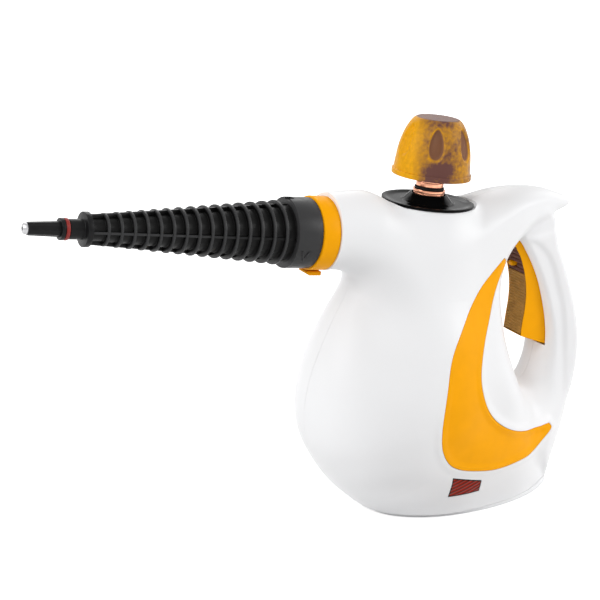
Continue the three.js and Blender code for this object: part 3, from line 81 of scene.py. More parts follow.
# The large sizes are those of the solids. Edges, reliefs and fine forms are the scene's own.
skin = sizes(
    dict(normal_angle=40, scoop_share=0.8, least_slope=0.05, settle_steps=4),
    wall=3.2, well=1.9, inlay=1.2, blend=18, seat_blend=9, crease=2.5, sag=13, sag_top=105, sag_top_fade=14,
    sag_low=28, sag_low_fade=7, cell=1.5, inner_cell=4, floor=3.3, well_cell=2.5, table=0.6, soften=1.1,
    probe=0.3, on_skin=0.09, seam=0.1, line_gap=0.32, settle=0.8, low=(-135, -70, -16), high=(100, 70, 226),
)
border = sizes(height=1.1, width=3.4, fall=0.45, top=92, fade=14)
strip = sizes(height=0.7, fade=0.375, low=60, low_fade=2, top=172, top_fade=2)
spout = sizes(dict(pitch=8.4), x=-110.5, z=188.7, face_back=11.1, bore=20.4, bore_end=46)
seat = sizes(
    dict(lean=7, taper=0.1),
    x=-27.4, z=198.6, pocket=28.8, depth=2, step=2.2, scoop=36, scoop_rise=3, far=66, far_rise=15, keep=33,
    keep_depth=5.4, boss=27.5, boss_depth=45, boss_top=0.5, drop=5, soft=1.2,
)
foot = sizes(dict(corners=160), length=65.5, width=36, thick=3, edge=0.8, recess=1.2, rim=6)
ring = sizes(outer=22, length=10.8, lip=3.6, bore=14.8, recess=17.8, spigot=19.8, spigot_length=11, edge=0.8)
latch = sizes(
    dict(grooves=4),
    length=10, ahead=-0.5, rise=3, width=10, chamfer=2.2, sink=0.2, travel=3, groove=0.21,
    groove_start=2.232, groove_pitch=1.86, groove_wide=0.6,
)
nozzle = sizes(
    dict(ribs=15, core_base=0.82, core_tip=0.7, webs=4, web_reach=0.9, lug_share=0.9, mark_turn=-27,
         tip_sides=10, smooth=28),
    collar=21, start=0.4, end=16.2, neck=16.6, first=22.7, pitch=7.57, rib_base=18.9, rib_tip=9.4, rib=1.5,
    flange_start=137.8, flange_end=141.1, flange=9.9, rod=5.7, rod_end=149.6, ring_seat=4.8, ring_end=152.4,
    collet=6.2, collet_end=154.6, tip_base=4.4, tip_back=4.488, tip_start=156.1, tip_full=172.4,
    tip_end=173.2, tip=3.8, tip_rim=3.3, bore=2.6, spigot=12.9, spigot_back=10, hollow=10.6, web=1.3,
    notch_wide=6, notch_long=3.4, notch_deep=1.6, edge=0.35, collar_edge=0.56, step_edge=0.7, lug=1.2,
    lug_half=5, lug_back=-9.4, lug_front=-4.2, mark=3, mark_tall=3.4, mark_thick=1.2, mark_back=6,
    mark_low=1.2, mark_rise=0.45,
)
insert = sizes(
    outer=3.2, bore=1.1, start=166.2, end=175.6, step=2.2, lip=3.3, lip_front=3.234, lip_end=174.6,
    lip_edge=0.2, front_edge=0.7, step_edge=0.5,
)
seal_ring = sizes(dict(sides=20, smooth=60), inner=5.15, outer=6.3, start=149.9, end=152.1)
disc = sizes(
    dict(sides=144, arc_steps=6, smooth=50),
    outer=28.4, base=1.7, rim=26.4, dish=0.9, dish_out=23, dish_in=16.5, boss_foot=15, boss_top=4.1,
    boss=11.2, bore=10.4, edge=0.5, low_edge=0.3, rim_edge=0.8, out_edge=2.4, in_edge=1.2, foot_edge=1,
    top_edge=0.4,
)
neck = sizes(
    outer=9.9, bore=7.4, top=7, foot=73.6, flange=12.6, flange_thick=2.4, waist=9.4, waist_low=3.4,
    waist_high=4.4, groove=9.2, groove_low=4.6, groove_high=5, edge=0.3, top_edge=0.5, bore_edge=0.2,
)
cap = sizes(
    dict(flutes=6, flute_narrow=0.28, flute_wall=0.55, sides=192, arc_steps=5, smooth=40),
    low=15, lip=24.3, lip_top=18, lip_low=23.5, lip_edge=0.7, top=50.5, crown=0.5, crown_in=0.1, wall=0.5,
    flute_top=2, flute_deep=1.8, flute_wide=5.4, flute_tall=10.5, flute_at=36.8,
)
core = sizes(low=15.2, deck=18, plate=20.5, hub=10, top=38, bore=6.4, edge=0.3)
stem = sizes(
    dict(threads=3, thread_rows=((0.5, 0), (0.85, 1), (1.2, 0))),
    collar=8.5, collar_low=8.6, collar_top=14.9, shank=6.1, shank_top=36, thread=6.6, crest=0.5, pitch=2,
    low=-4, groove=7.7, groove_low=11.4, groove_high=12.1, collar_edge=0.5, rim_edge=0.4, groove_edge=0.1,
    top_edge=0.3,
)
seal = sizes(inner=7.2, outer=9, low=7.15, top=8.4, edge=0.4)
trigger = sizes(
    dict(ribs=21, coarse=6, front_rows=9, front_steps=4, bevel_angle=40, smooth=50, well_rows=40,
         back_rows=16),
    width=10, slot=10.5, pivot_x=44, pivot_z=168.4, edge=0.7, pad=8.9, pad_depth=1.8, rib=0.45, mid=143,
    coarse_rib=1, coarse_sink=0.9, sink=0.18, eye=2.35,
)
# One rib of the trigger pad, from valley to valley, [share of its height, share of its depth].
PAD_RIB_SHARES = ((0.02, 0), (0.25, 0.8), (0.5, 1), (0.75, 0.8), (0.98, 0))
lock = sizes(x=41.5, z=147.8, width=2, tall=3, deep=5, proud=1.2, y=3.6, slot=3.6, edge=0.5)
gland = sizes(
    x=70.4, z=25, radius=5.2, bore=3.3, inside=8.5, flange=7.2, thick=2.1, flush=0.4, low_edge=0.3,
    flange_edge=0.4, edge=0.8,
)
screw = sizes(
    dict(point_share=0.4, crown_share=0.6),
    head=3, head_tall=1.8, shank=1.3, boss=4.6, well=3.4, well_floor=6, length=16, cross=1.9,
    cross_wide=0.5, cross_deep=1, low_edge=0.2, side=0.7, side_edge=0.6, crown_edge=0.8,
)
foot_screw = sizes(dict(count=4), x=34, y=15, sink=3.2, recess=0.5, length=11)
lamp = sizes(
    dict(lean=-62, ridges=95, wander=1.2, ridge_share=0.8, ridge_range=(0.35, 0.65),
         ridge_colour=(0.07, 0.012, 0.008), edge_colour=(0.012, 0.006, 0.005)),
    thick=1.6, deep=60, grow=0.3, frame=(0.45, 0.9), ridge_depth=0.2,
)
# Painted shade in the amber cap where the dark works behind it show through, and painted light on its clear
# flank: ranges across it, as the photograph shows it, and along its axis.
amber_shade = sizes(
    dict(large=75, large_detail=3, large_share=(0.25, 0.85), fine=480, fine_detail=2, fine_share=(-0.2, 0.2),
         column_share=0.6, high_share=0.8, top_share=0.95, rim_share=0.15, rim=(0, 0.1), floor_share=0.9,
         floor=(0.15, 0.75), colour=(0.14, 0.062, 0.052), side=(0.879, -0.464, -0.108)),
    dark=(-14, -6), column_start=(-10, -3), column_end=(5, 13), low=(23, 29), high=(44, 48), top=(50.1, 50.4),
)
# Painted sheen and painted shade on the nozzle's black: greyer on the collar and the ribs' rims, darker with
# the depth below the ribs' rims.
nozzle_light = sizes(
    dict(crest_colour=(0.034, 0.034, 0.035), gap_colour=(0.001, 0.001, 0.001)),
    crest=(0.9, 1.6), gap=(1.2, 2.2), collar=(16, 16.2), flange=(137.6, 137.8),
)
# Painted shade on the trigger pad's upper, coarse part: its share, colour and fade.
coarse = sizes(dict(share=0.85, colour=(0.10, 0.04, 0.045)), fade=(-0.4, 0.4))
ground = SimpleNamespace(size=3, near=0.35, far=1.1, glow=0.6, colour=0.77, rough=0.9)
ambient = 0.15

# Studio lamps: [name, place, height of the aim, width and length, watts].
LIGHTS = (
    ("key", (-0.9, -0.9, 1.3), 0.12, (0.9, 0.9), 12.7),
    ("fill", (1.3, -0.9, 0.8), 0.12, (0.9, 0.9), 17.4),
    ("side", (-1.5, 0.3, 0.9), 0.12, (0.9, 0.9), 13.1),
    ("back", (0.3, 1.3, 1.0), 0.15, (1.2, 0.8), 6.9),
    ("rear", (1.4, 0.5, 0.9), 0.12, (0.9, 0.9), 5),
)
# Finishes: [colour, darkest mottle, roughness, its spread, grains per metre, grain depth in mm,
# mottles per metre, metal, specular].
FINISHES = {
    "white": ((0.86, 0.862, 0.872), 0.996, 0.31, 0.01, 700, 0.004, 8, 0, 0.13),
    "yellow": ((0.96, 0.40, 0.002), 0.95, 0.42, 0.06, 1500, 0.03, 90, 0, 0.06),
    "nozzle": ((0.006, 0.006, 0.0065), 0.75, 0.36, 0.08, 1300, 0.04, 120, 0, 0.14),
    "pad": ((0.42, 0.215, 0.055), 0.7, 0.55, 0.06, 1500, 0.04, 200, 0, 0.04),
    "black": ((0.006, 0.006, 0.0065), 0.75, 0.36, 0.08, 1300, 0.04, 120, 0, 0.22),
    "gloss_black": ((0.003, 0.003, 0.003), 0.8, 0.14, 0.02, 900, 0.01, 60, 0, 0.03),
    "amber": ((0.80, 0.37, 0.008), 0.82, 0.34, 0.05, 2600, 0.06, 420, 0, 0.06),
    "brass": ((0.82, 0.38, 0.24), 0.75, 0.2, 0.06, 1200, 0.015, 160, 1, 0.5),
    "steel": ((0.50, 0.50, 0.51), 0.8, 0.3, 0.06, 1600, 0.02, 150, 1, 0.5),
    "lamp": ((0.38, 0.018, 0.004), 0.8, 0.3, 0.04, 1500, 0.02, 200, 0, 0.03),
    "rubber": ((0.015, 0.015, 0.015), 0.8, 0.65, 0.08, 1500, 0.05, 120, 0, 0.2),
    "red_rubber": ((0.30, 0.03, 0.025), 0.8, 0.4, 0.06, 1500, 0.03, 200, 0, 0.2),
    "cream": ((0.70, 0.66, 0.55), 0.9, 0.5, 0.06, 1000, 0.03, 80, 0, 0.5),
    "gasket": ((0.36, 0.08, 0.05), 0.85, 0.6, 0.05, 1200, 0.03, 100, 0, 0.5),
    "green": ((0.03, 0.16, 0.06), 0.7, 0.4, 0.05, 900, 0.02, 200, 0, 0.5),
    "aluminium": ((0.62, 0.63, 0.64), 0.85, 0.45, 0.08, 900, 0.06, 90, 1, 0.5),
}

# Side view of the belly, spout sleeve and rear wing, [x, z].
BODY_OUTLINE_SHARES = (
    (-0.33, -0.11), (-0.3375, -0.005), (-0.395, 0.05), (-0.465, 0.12), (-0.515, 0.195), (-0.5525, 0.275),
    (-0.5625, 0.36), (-0.5525, 0.44), (-0.53, 0.515), (-0.495, 0.595), (-0.4575, 0.67), (-0.425, 0.725),
    (-0.41, 0.76), (-0.42, 0.795), (-0.465, 0.82), (-0.54, 0.829), (-0.625, 0.84), (-0.625, 1.058),
    (-0.54, 1.056), (-0.46, 1.055), (-0.39, 1.0525), (-0.33, 1.04), (-0.28, 1.01), (-0.225, 0.985),
    (-0.15, 0.97), (-0.06, 0.9675), (0.03, 0.9825), (0.125, 0.995), (0.21, 0.994), (0.28, 0.9825),
    (0.335, 0.9625), (0.3825, 0.9375), (0.375, 0.9175), (0.325, 0.9), (0.275, 0.89), (0.22, 0.875),
    (0.17, 0.84), (0.125, 0.7935), (0.099, 0.735), (0.0925, 0.665), (0.1, 0.5975), (0.114, 0.525),
    (0.14, 0.44), (0.18, 0.36), (0.23, 0.3), (0.275, 0.24), (0.305, 0.15), (0.3225, 0.06), (0.325, -0.11),
    (0.25, -0.375), (-0.25, -0.375),
)
# Side view of the handle loop, [x, z].
HANDLE_OUTLINE_SHARES = (
    (0.23, 0.95), (0.29, 0.925), (0.3175, 0.89), (0.3175, 0.85), (0.3225, 0.81), (0.3475, 0.745),
    (0.3825, 0.64), (0.4075, 0.535), (0.4175, 0.45), (0.4125, 0.355), (0.3925, 0.25), (0.365, 0.155),
    (0.3375, 0.075), (0.325, 0.03), (0.3, -0.02), (0.25, 0.02), (0.17, 0.06), (0.13, 0.15), (0.165, 0.235),
    (0.2025, 0.29), (0.2325, 0.3325), (0.2575, 0.375), (0.276, 0.43), (0.281, 0.49), (0.2745, 0.56),
    (0.258, 0.63), (0.2355, 0.7), (0.21, 0.755), (0.178, 0.81), (0.155, 0.85),
)
# Half width of the body at places of the side view, [x, z, half width].
BODY_WIDTH_SHARES = (
    (-0.225, 0.425, 0.31), (-0.4, 0.375, 0.29), (-0.5, 0.375, 0.26), (-0.3, 0.2, 0.285),
    (-0.1, 0.19, 0.275), (0.075, 0.2, 0.245), (0.2, 0.175, 0.195), (0.3, 0.15, 0.15), (-0.2, 0.6, 0.28),
    (-0.4, 0.6, 0.24), (-0.05, 0.475, 0.265), (0.075, 0.4, 0.22), (0.15, 0.325, 0.19), (0, 0.6, 0.205),
    (0.075, 0.6, 0.15), (-0.5, 0.935, 0.109), (-0.35, 0.93, 0.1225), (-0.375, 0.75, 0.16),
    (-0.25, 0.775, 0.195), (-0.175, 0.925, 0.15), (-0.05, 0.925, 0.15), (-0.125, 0.775, 0.19),
    (0.025, 0.8, 0.145), (0.1, 0.925, 0.12), (0.2, 0.95, 0.095), (0.3, 0.95, 0.055), (0.375, 0.94, 0.03),
    (0.125, 0.825, 0.1), (0.075, 0.725, 0.13), (-0.3, 0, 0.18), (-0.15, 0, 0.1825), (0, 0, 0.18),
    (0.15, 0, 0.17), (0.3, 0, 0.145), (-0.3, -0.125, 0.165), (0, -0.125, 0.17), (0.3, -0.125, 0.14),
)
# Depth over which the body's edge rounds off, [x, z, depth].
BODY_ROUND_SHARES = (
    (-0.225, 0.425, 0.3), (-0.4, 0.375, 0.275), (-0.3, 0.175, 0.27), (-0.1, 0.175, 0.27),
    (0.15, 0.175, 0.23), (0.3, 0.125, 0.23), (-0.2, 0.6, 0.25), (-0.375, 0.6, 0.225), (0, 0.5, 0.15),
    (0.075, 0.425, 0.1), (0.06, 0.6, 0.08), (0.075, 0.725, 0.065), (0.125, 0.825, 0.045),
    (0.225, 0.925, 0.04), (0.35, 0.94, 0.025), (-0.5, 0.935, 0.11), (-0.35, 0.93, 0.12),
    (-0.375, 0.75, 0.15), (-0.25, 0.775, 0.18), (-0.175, 0.925, 0.1), (-0.05, 0.925, 0.085),
    (0.05, 0.825, 0.08), (-0.125, 0.75, 0.17), (-0.3, 0, 0.28), (0, 0, 0.3), (0.3, 0, 0.32),
    (-0.3, -0.125, 0.3), (0, -0.125, 0.3), (0.3, -0.125, 0.32),
)
# Half width of the handle, [x, z, half width].
HANDLE_WIDTH_SHARES = (
    (0.375, 0.5, 0.0825), (0.35, 0.75, 0.0775), (0.3, 0.9, 0.065), (0.39, 0.3, 0.09), (0.35, 0.15, 0.125),
    (0.275, 0.1, 0.14), (0.2, 0.15, 0.165), (0.275, 0.8, 0.07),
)
# Edge rounding of the handle, [x, z, depth].
HANDLE_ROUND_SHARES = (
    (0.36, 0.5, 0.0325), (0.33, 0.75, 0.03), (0.3, 0.9, 0.03), (0.38, 0.3, 0.055), (0.35, 0.15, 0.15),
    (0.275, 0.075, 0.17), (0.2, 0.15, 0.12),
)
# Crescent inlay, its outer edge from the upper to the lower tip, [x, z].
CRESCENT_OUTER_SHARES = (
    (0.065, 0.8115), (0.015, 0.7775), (-0.0425, 0.739), (-0.128, 0.6655), (-0.1985, 0.5835),
    (-0.2305, 0.4895), (-0.252, 0.3805), (-0.2495, 0.3125), (-0.236, 0.2745), (-0.2085, 0.236),
    (-0.166, 0.2095), (-0.101, 0.1885), (-0.014, 0.1695), (0.0785, 0.1655), (0.169, 0.169),
    (0.2255, 0.1925), (0.263, 0.2195), (0.255, 0.234),
)
# Crescent inlay, its inner edge back to the upper tip, [x, z].
CRESCENT_INNER_SHARES = (
    (0.215, 0.2325), (0.1525, 0.241), (0.1025, 0.2565), (0.047, 0.2815), (0, 0.312), (-0.039, 0.3485),
    (-0.071, 0.3955), (-0.0895, 0.452), (-0.0905, 0.4955), (-0.0755, 0.545), (-0.052, 0.591),
    (-0.021, 0.642), (0.0155, 0.7105), (0.0445, 0.7525), (0.073, 0.785), (0.075, 0.8025),
)
# Corners of the indicator lamp, [x, z].
LAMP_SHARES = (
    (-0.1845, 0.179), (-0.0655, 0.139), (-0.0575, 0.093), (-0.1665, 0.0915),
)
# Opening for the trigger in the handle, [x, z].
SLOT_SHARES = (
    (0.163, 0.8625), (0.245, 0.8775), (0.285, 0.8), (0.32, 0.7), (0.345, 0.59), (0.3575, 0.4475),
    (0.285, 0.466), (0.15, 0.5), (0.155, 0.8),
)
# Side view of the trigger, front edge down and hidden rear edge up, [x, z].
TRIGGER_SHARES = (
    (0.17, 0.855), (0.163, 0.816), (0.1815, 0.779), (0.195, 0.74), (0.2045, 0.7015), (0.2095, 0.655),
    (0.2075, 0.6055), (0.2005, 0.5585), (0.1945, 0.5115), (0.24, 0.4915), (0.31, 0.463), (0.31, 0.55),
    (0.2865, 0.655), (0.267, 0.75), (0.25, 0.815), (0.243, 0.863),
)
# Front line of the trigger pad, [x, z].
PAD_SHARES = (
    (0.1948, 0.514), (0.2005, 0.5585), (0.2075, 0.6055), (0.2095, 0.655), (0.2045, 0.7015), (0.195, 0.74),
    (0.1815, 0.779), (0.1655, 0.811),
)
# Outer side of the cap above its lip, [radius, height].
CAP_SIDE_SHARES = (
    (0.117, 0.0915), (0.1145, 0.12), (0.1105, 0.155), (0.102, 0.191), (0.09, 0.221), (0.077, 0.242),
    (0.068, 0.2505), (0.063, 0.2525),
)
# Inner side of the cap, [radius, height].
CAP_INNER_SHARES = (
    (0.107, 0.075), (0.103, 0.13), (0.0905, 0.18), (0.081, 0.205), (0.066, 0.2275), (0, 0.2315),
)
# Screw bosses that join the housing halves, [x, z].
BOSS_SHARES = (
    (-0.49, 0.37), (0.07, 0.905), (0.365, 0.34), (0.245, 0.11),
)
# Edge of the handle's raised outer strip, top to bottom, [x, z].
HANDLE_CREASE_SHARES = (
    (0.196, 0.84), (0.238, 0.816), (0.2715, 0.778), (0.2935, 0.734), (0.3135, 0.666), (0.329, 0.6085),
    (0.339, 0.5375), (0.3435, 0.4665), (0.3465, 0.3775), (0.336, 0.3), (0.305, 0.26),
)
# Points far behind the handle that close the strip's outline.
STRIP_CLOSE_SHARES = ((0.3, 0.1), (0.6, 0.1), (0.6, 0.9))


# Camera, lights and stage
def linked(thing, place=(0, 0, 0), aim=None):
    """An object for the thing, in the scene, looking at its aim."""
    made = bpy.data.objects.new(thing.name, thing)
    made.location = place
    if aim:
        made.rotation_mode = "QUATERNION"
        made.rotation_quaternion = (Vector(aim) - Vector(place)).to_track_quat("-Z", "Y")
    bpy.context.scene.collection.objects.link(made)
    return made


def set_camera():
    yaw, tilt = radians(view.yaw), radians(view.tilt)
    back = Vector((-sin(yaw) * cos(tilt), -cos(yaw) * cos(tilt), sin(tilt)))
    data = bpy.data.cameras.new("camera")
    data.sensor_width = view.sensor
    data.lens = view.focal / view.frame * view.sensor
    aim = Vector((view.x, 0, view.z))
    bpy.context.scene.camera = linked(data, aim + back * view.distance, aim)
    bpy.context.scene.view_settings.view_transform = "Standard"


def set_lights():
    for name, place, aim, size, power in LIGHTS:
        data = bpy.data.lights.new(name, "AREA")
        data.shape = "RECTANGLE"
        data.size, data.size_y = size
        data.energy = power
        linked(data, place, (0, 0, aim))


def node(tree, kind, sockets=None, operation=None):
    """A new node. Its sockets take other nodes' outputs or plain values."""
    made = tree.nodes.new("ShaderNode" + kind)
    if operation:
        made.operation = operation
    for key, value in (sockets or {}).items():
        if isinstance(value, bpy.types.NodeSocket):
            tree.links.new(value, made.inputs[key])
        else:
            made.inputs[key].default_value = value
    return made


def paired(operation, first, second):
    return node(first.id_data, "Math", {0: first, 1: second}, operation).outputs[0]


def spread(value, low, high, start=0.3, end=0.7):
    """The value's range from start to end turned into low to high."""
    sockets = {"Value": value, "From Min": start, "From Max": end, "To Min": low, "To Max": high}
    return node(value.id_data, "MapRange", sockets).outputs[0]


def seen_directly(tree):
    """1 for rays that the camera, a mirror or glass sends, 0 for the light that falls on things."""
    path = node(tree, "LightPath").outputs
    either = paired("MAXIMUM", path["Is Camera Ray"], path["Is Glossy Ray"])
    return paired("MAXIMUM", either, path["Is Transmission Ray"])


def set_world():
    world = bpy.data.worlds.new("studio")
    world.use_nodes = True
    bpy.context.scene.world = world
    tree = world.node_tree
    background = tree.nodes["Background"]
    background.inputs["Color"].default_value = (1, 1, 1, 1)
    tree.links.new(spread(seen_directly(tree), ambient, 1, 0, 1), background.inputs["Strength"])


def lay_floor():
    mesh = bpy.data.meshes.new("floor")
    side = ground.size
    corners = [(-side, -side, 0), (side, -side, 0), (side, side, 0), (-side, side, 0)]
    mesh.from_pydata(corners, [], [(0, 1, 2, 3)])
    floor = linked(mesh)
    material = bpy.data.materials.new("floor")
    material.use_nodes = True
    tree = material.node_tree
    shader = tree.nodes["Principled BSDF"]
    shader.inputs["Base Color"].default_value = (ground.colour, ground.colour, ground.colour, 1)
    shader.inputs["Roughness"].default_value = ground.rough
    shader.inputs["Emission Color"].default_value = (1, 1, 1, 1)
    # The floor is whiter far from the object, so that it meets the white world without a line.
    away = vector("LENGTH", node(tree, "TexCoord").outputs["Object"])
    share = spread(away, ground.glow, 1, ground.near, ground.far)
    tree.links.new(paired("MULTIPLY", seen_directly(tree), share), shader.inputs["Emission Strength"])
    mesh.materials.append(material)


# Materials
def vector(operation, first, second=(0, 0, 0)):
    outputs = node(first.id_data, "VectorMath", {0: first, 1: second}, operation).outputs
    return outputs["Vector" if operation in ("SUBTRACT", "CROSS_PRODUCT") else "Value"]


def measured(place, direction, origin):
    """How far a place lies from the origin along a direction, in metres."""
    return vector("DOT_PRODUCT", vector("SUBTRACT", place, origin), direction)


def noise(place, scale, detail=3):
    return node(place.id_data, "TexNoise", {"Scale": scale, "Detail": detail, "Vector": place}).outputs["Fac"]


def mixed(share, first, second):
    made = node(share.id_data, "Mix", {"Factor": share})
    made.data_type = "RGBA"
    for name, color in (("A", first), ("B", second)):
        socket = next(i for i in made.inputs if i.name == name and i.type == "RGBA")
        if isinstance(color, tuple):
            socket.default_value = (*color, 1)
        else:
            share.id_data.links.new(color, socket)
    return next(o for o in made.outputs if o.type == "RGBA")


def finish(name):
    """A moulded or metal surface: mottled colour, uneven gloss and a fine moulded grain."""
    color, shade, rough, uneven, grain, depth, mottle, metal, specular = FINISHES[name]
    material = bpy.data.materials.new(name)
    material.use_nodes = True
    tree = material.node_tree
    place = node(tree, "TexCoord").outputs["Object"]
    darker = tuple(c * shade for c in color)
    height = noise(place, grain, 2)
    sockets = {
        "Base Color": mixed(spread(noise(place, mottle), 0, 1), color, darker),
        "Roughness": spread(noise(place, mottle * 3), rough - uneven, rough + uneven),
        "Normal": node(tree, "Bump", {"Strength": 1, "Distance": depth * MM, "Height": height}).outputs[0],
    }
    shader = tree.nodes["Principled BSDF"]
    for key, output in sockets.items():
        tree.links.new(output, shader.inputs[key])
    shader.inputs["Metallic"].default_value = metal
    shader.inputs["Specular IOR Level"].default_value = specular
    return material


def opened(material):
    """A finish's shader, a socket with the place on the object and the colour that reaches the shader."""
    shader = material.node_tree.nodes["Principled BSDF"]
    place = node(material.node_tree, "TexCoord").outputs["Object"]
    return shader, place, shader.inputs["Base Color"].links[0].from_socket


def recolour(shader, share, first, second):
    shader.id_data.links.new(mixed(share, first, second), shader.inputs["Base Color"])


def paint_amber_shade(material):
    """See-through amber, with the dark works behind it painted on as mauve brown clouds of painted shade."""
    shader, place, base = opened(material)
    height = measured(place, cap_axis, cap_frame.translation)
    side = measured(place, amber_shade.side, cap_frame.translation)
    # One flank is painted clear, a painted light as if lit through. The painted shade is thickest in a column
    # below and above the middle recess.
    c = amber_shade
    column = paired("MULTIPLY", spread(side, 0, 1, *c.column_start), spread(side, 1, 0, *c.column_end))
    ends = paired("MAXIMUM", spread(height, 1, 0, *c.low), spread(height, 0, c.high_share, *c.high))
    column = paired("MULTIPLY", column, ends)
    large = spread(noise(place, c.large, c.large_detail), *c.large_share)
    fine = spread(noise(place, c.fine, c.fine_detail), *c.fine_share)
    share = paired("ADD", paired("ADD", large, fine), spread(column, 0, c.column_share, 0, 1))
    # Each recess has a painted light rim and a painted shade floor.
    recess = node(material.node_tree, "Attribute")
    recess.attribute_name = "recess"
    share = paired("SUBTRACT", share, spread(recess.outputs["Fac"], 0, c.rim_share, *c.rim))
    share = paired("MAXIMUM", share, spread(recess.outputs["Fac"], 0, c.floor_share, *c.floor))
    # The clear flank keeps none of the painted shade.
    share = paired("MULTIPLY", share, spread(side, 0, 1, *c.dark))
    # The top is painted darker: painted shade.
    share = paired("MAXIMUM", share, spread(height, 0, c.top_share, *c.top))
    recolour(shader, share, base, c.colour)


def paint_nozzle_light(material):
    """Black plastic with a painted sheen, greyer on the collar and on the ribs' rims, and painted shade,
    darker down between the ribs.
    """
    shader, place, base = opened(material)
    n, axis, origin = nozzle, spout_frame.col[2].to_3d(), spout_frame.translation
    ahead = measured(place, axis, origin)
    radius = vector("LENGTH", vector("CROSS_PRODUCT", vector("SUBTRACT", place, origin), axis))
    rim = spread(ahead, n.rib_base, n.rib_tip, n.first, n.first + n.pitch * (n.ribs - 1))
    sunk = paired("SUBTRACT", rim, radius)
    ribs = paired("MULTIPLY", spread(ahead, 0, 1, *nozzle_light.collar), spread(ahead, 1, 0, *nozzle_light.flange))
    lit_crests = paired("MULTIPLY", ribs, spread(sunk, 1, 0, *nozzle_light.crest))
    gap_shade = paired("MULTIPLY", ribs, spread(sunk, 0, 1, *nozzle_light.gap))
    # Painted sheen on the collar and the rims, painted shade in the gaps.
    sheen = paired("MAXIMUM", spread(ahead, 1, 0, *nozzle_light.collar), lit_crests)
    recolour(shader, sheen, mixed(gap_shade, base, nozzle_light.gap_colour), nozzle_light.crest_colour)


def shade_pad_top(material):
    """Ribbed brown finger face whose upper, coarse part, sunk deeper, is painted darker as painted shade."""
    shader, place, base = opened(material)
    height = measured(place, (0, 0, 1), (0, 0, trigger.mid))
    recolour(shader, spread(height, 0, coarse.share, *coarse.fade), base, coarse.colour)


def from_edges(place, corners):
    """How far a place lies inside the nearest edge of a side-view outline with straight edges."""
    middle = np.mean(corners, axis=0)
    nearest = None
    for (ax, az), (bx, bz) in zip(corners, corners[1:] + corners[:1]):
        inward = Vector((az - bz, 0, bx - ax)).normalized()
        if inward.dot(Vector((middle[0] - ax, 0, middle[1] - az))) < 0:
            inward = -inward
        inside = measured(place, inward, (ax, 0, az))
        nearest = inside if nearest is None else paired("MINIMUM", nearest, inside)
    return nearest


def hatch_lamp(material):
    """Dark red lamp window with slanting ridges moulded in it and a dark edge."""
    shader, place, base = opened(material)
    tree = material.node_tree
    leaning = node(tree, "Mapping", {"Rotation": (0, radians(lamp.lean), 0), "Vector": place}).outputs[0]
    sockets = {"Scale": lamp.ridges, "Distortion": lamp.wander, "Detail": 1, "Vector": leaning}
    ridges = node(tree, "TexWave", sockets).outputs["Fac"]
    hatched = mixed(spread(ridges, 0, lamp.ridge_share, *lamp.ridge_range), base, lamp.ridge_colour)
    edge = spread(from_edges(place, scaled(LAMP_SHARES)), 1, 0, *lamp.frame)
    recolour(shader, edge, hatched, lamp.edge_colour)
    bump = shader.inputs["Normal"].links[0].from_node
    bump.inputs["Distance"].default_value = lamp.ridge_depth
    tree.links.new(ridges, bump.inputs["Height"])


def make_finishes():
    made = {name: finish(name) for name in FINISHES}
    paint_amber_shade(made["amber"])
    paint_nozzle_light(made["nozzle"])
    shade_pad_top(made["pad"])
    hatch_lamp(made["lamp"])
    return made


def paint_hidden():
    """The works inside keep their solids and get the finishes of the record's slots."""
    for part in frame["record"]["subparts"]:
        for holder in frame["nodes"][part["node"]].material_slots:
            holder.material = finishes[part["material_slot"]]


# Mesh helpers
def new_piece(points, faces):
    """A mesh object with its faces turned outwards."""
    mesh = bpy.data.meshes.new("piece")
    mesh.from_pydata([tuple(p) for p in points], [], [tuple(f) for f in faces])
    held = bmesh.new()
    held.from_mesh(mesh)
    bmesh.ops.remove_doubles(held, verts=held.verts, dist=MERGE)
    bmesh.ops.recalc_face_normals(held, faces=held.faces)
    held.to_mesh(mesh)
    held.free()
    return linked(mesh)


def smoothed(piece, angle=SMOOTH_ANGLE):
    piece.data.shade_smooth()
    piece.data.set_sharp_from_angle(angle=radians(angle))
    return piece


def rounded(points, steps=ARC_STEPS, closed=True):
    """A flat line whose corners are made round by their third number, where they have one."""
    out = []
    count = len(points)
    flat = [Vector(p[:2]) for p in points]
    for i, here in enumerate(flat):
        radius = points[i][2] if len(points[i]) > 2 else 0
        if radius <= 0 or (not closed and i in (0, count - 1)):
            out.append(tuple(here))
            continue
        back, ahead = flat[i - 1] - here, flat[(i + 1) % count] - here
        reach = min(radius, back.length * CORNER_SHARE, ahead.length * CORNER_SHARE)
        start, end = here + back.normalized() * reach, here + ahead.normalized() * reach
        for t in np.arange(steps + 1) / steps:
            out.append(tuple(start * (1 - t) ** 2 + here * 2 * t * (1 - t) + end * t * t))
    return out


def layered(rings):
    """A solid from rings of points with the same count, with a flat face on the first and the last."""
    count, last = len(rings[0]), len(rings[0]) * (len(rings) - 1)
    faces = [range(count), range(last, last + count)]
    for row in range(0, last, count):
        ends = [(row + n, row + (n + 1) % count) for n in range(count)]
        faces += [(a, b, b + count, a + count) for a, b in ends]
    return new_piece([point for ring_points in rings for point in ring_points], faces)


def prism(line, low, high):
    """A side-view line of (x, z) pairs pushed across the object from y = low to y = high."""
    return layered([[(x, y, z) for x, z in line] for y in (low, high)])


def brick(low, high, place=Matrix.Identity(4)):
    (x, y, z), (u, v, w) = low, high
    return layered([[place @ Vector((a, b, c)) for a, b in ((x, y), (u, y), (u, v), (x, v))] for c in (z, w)])


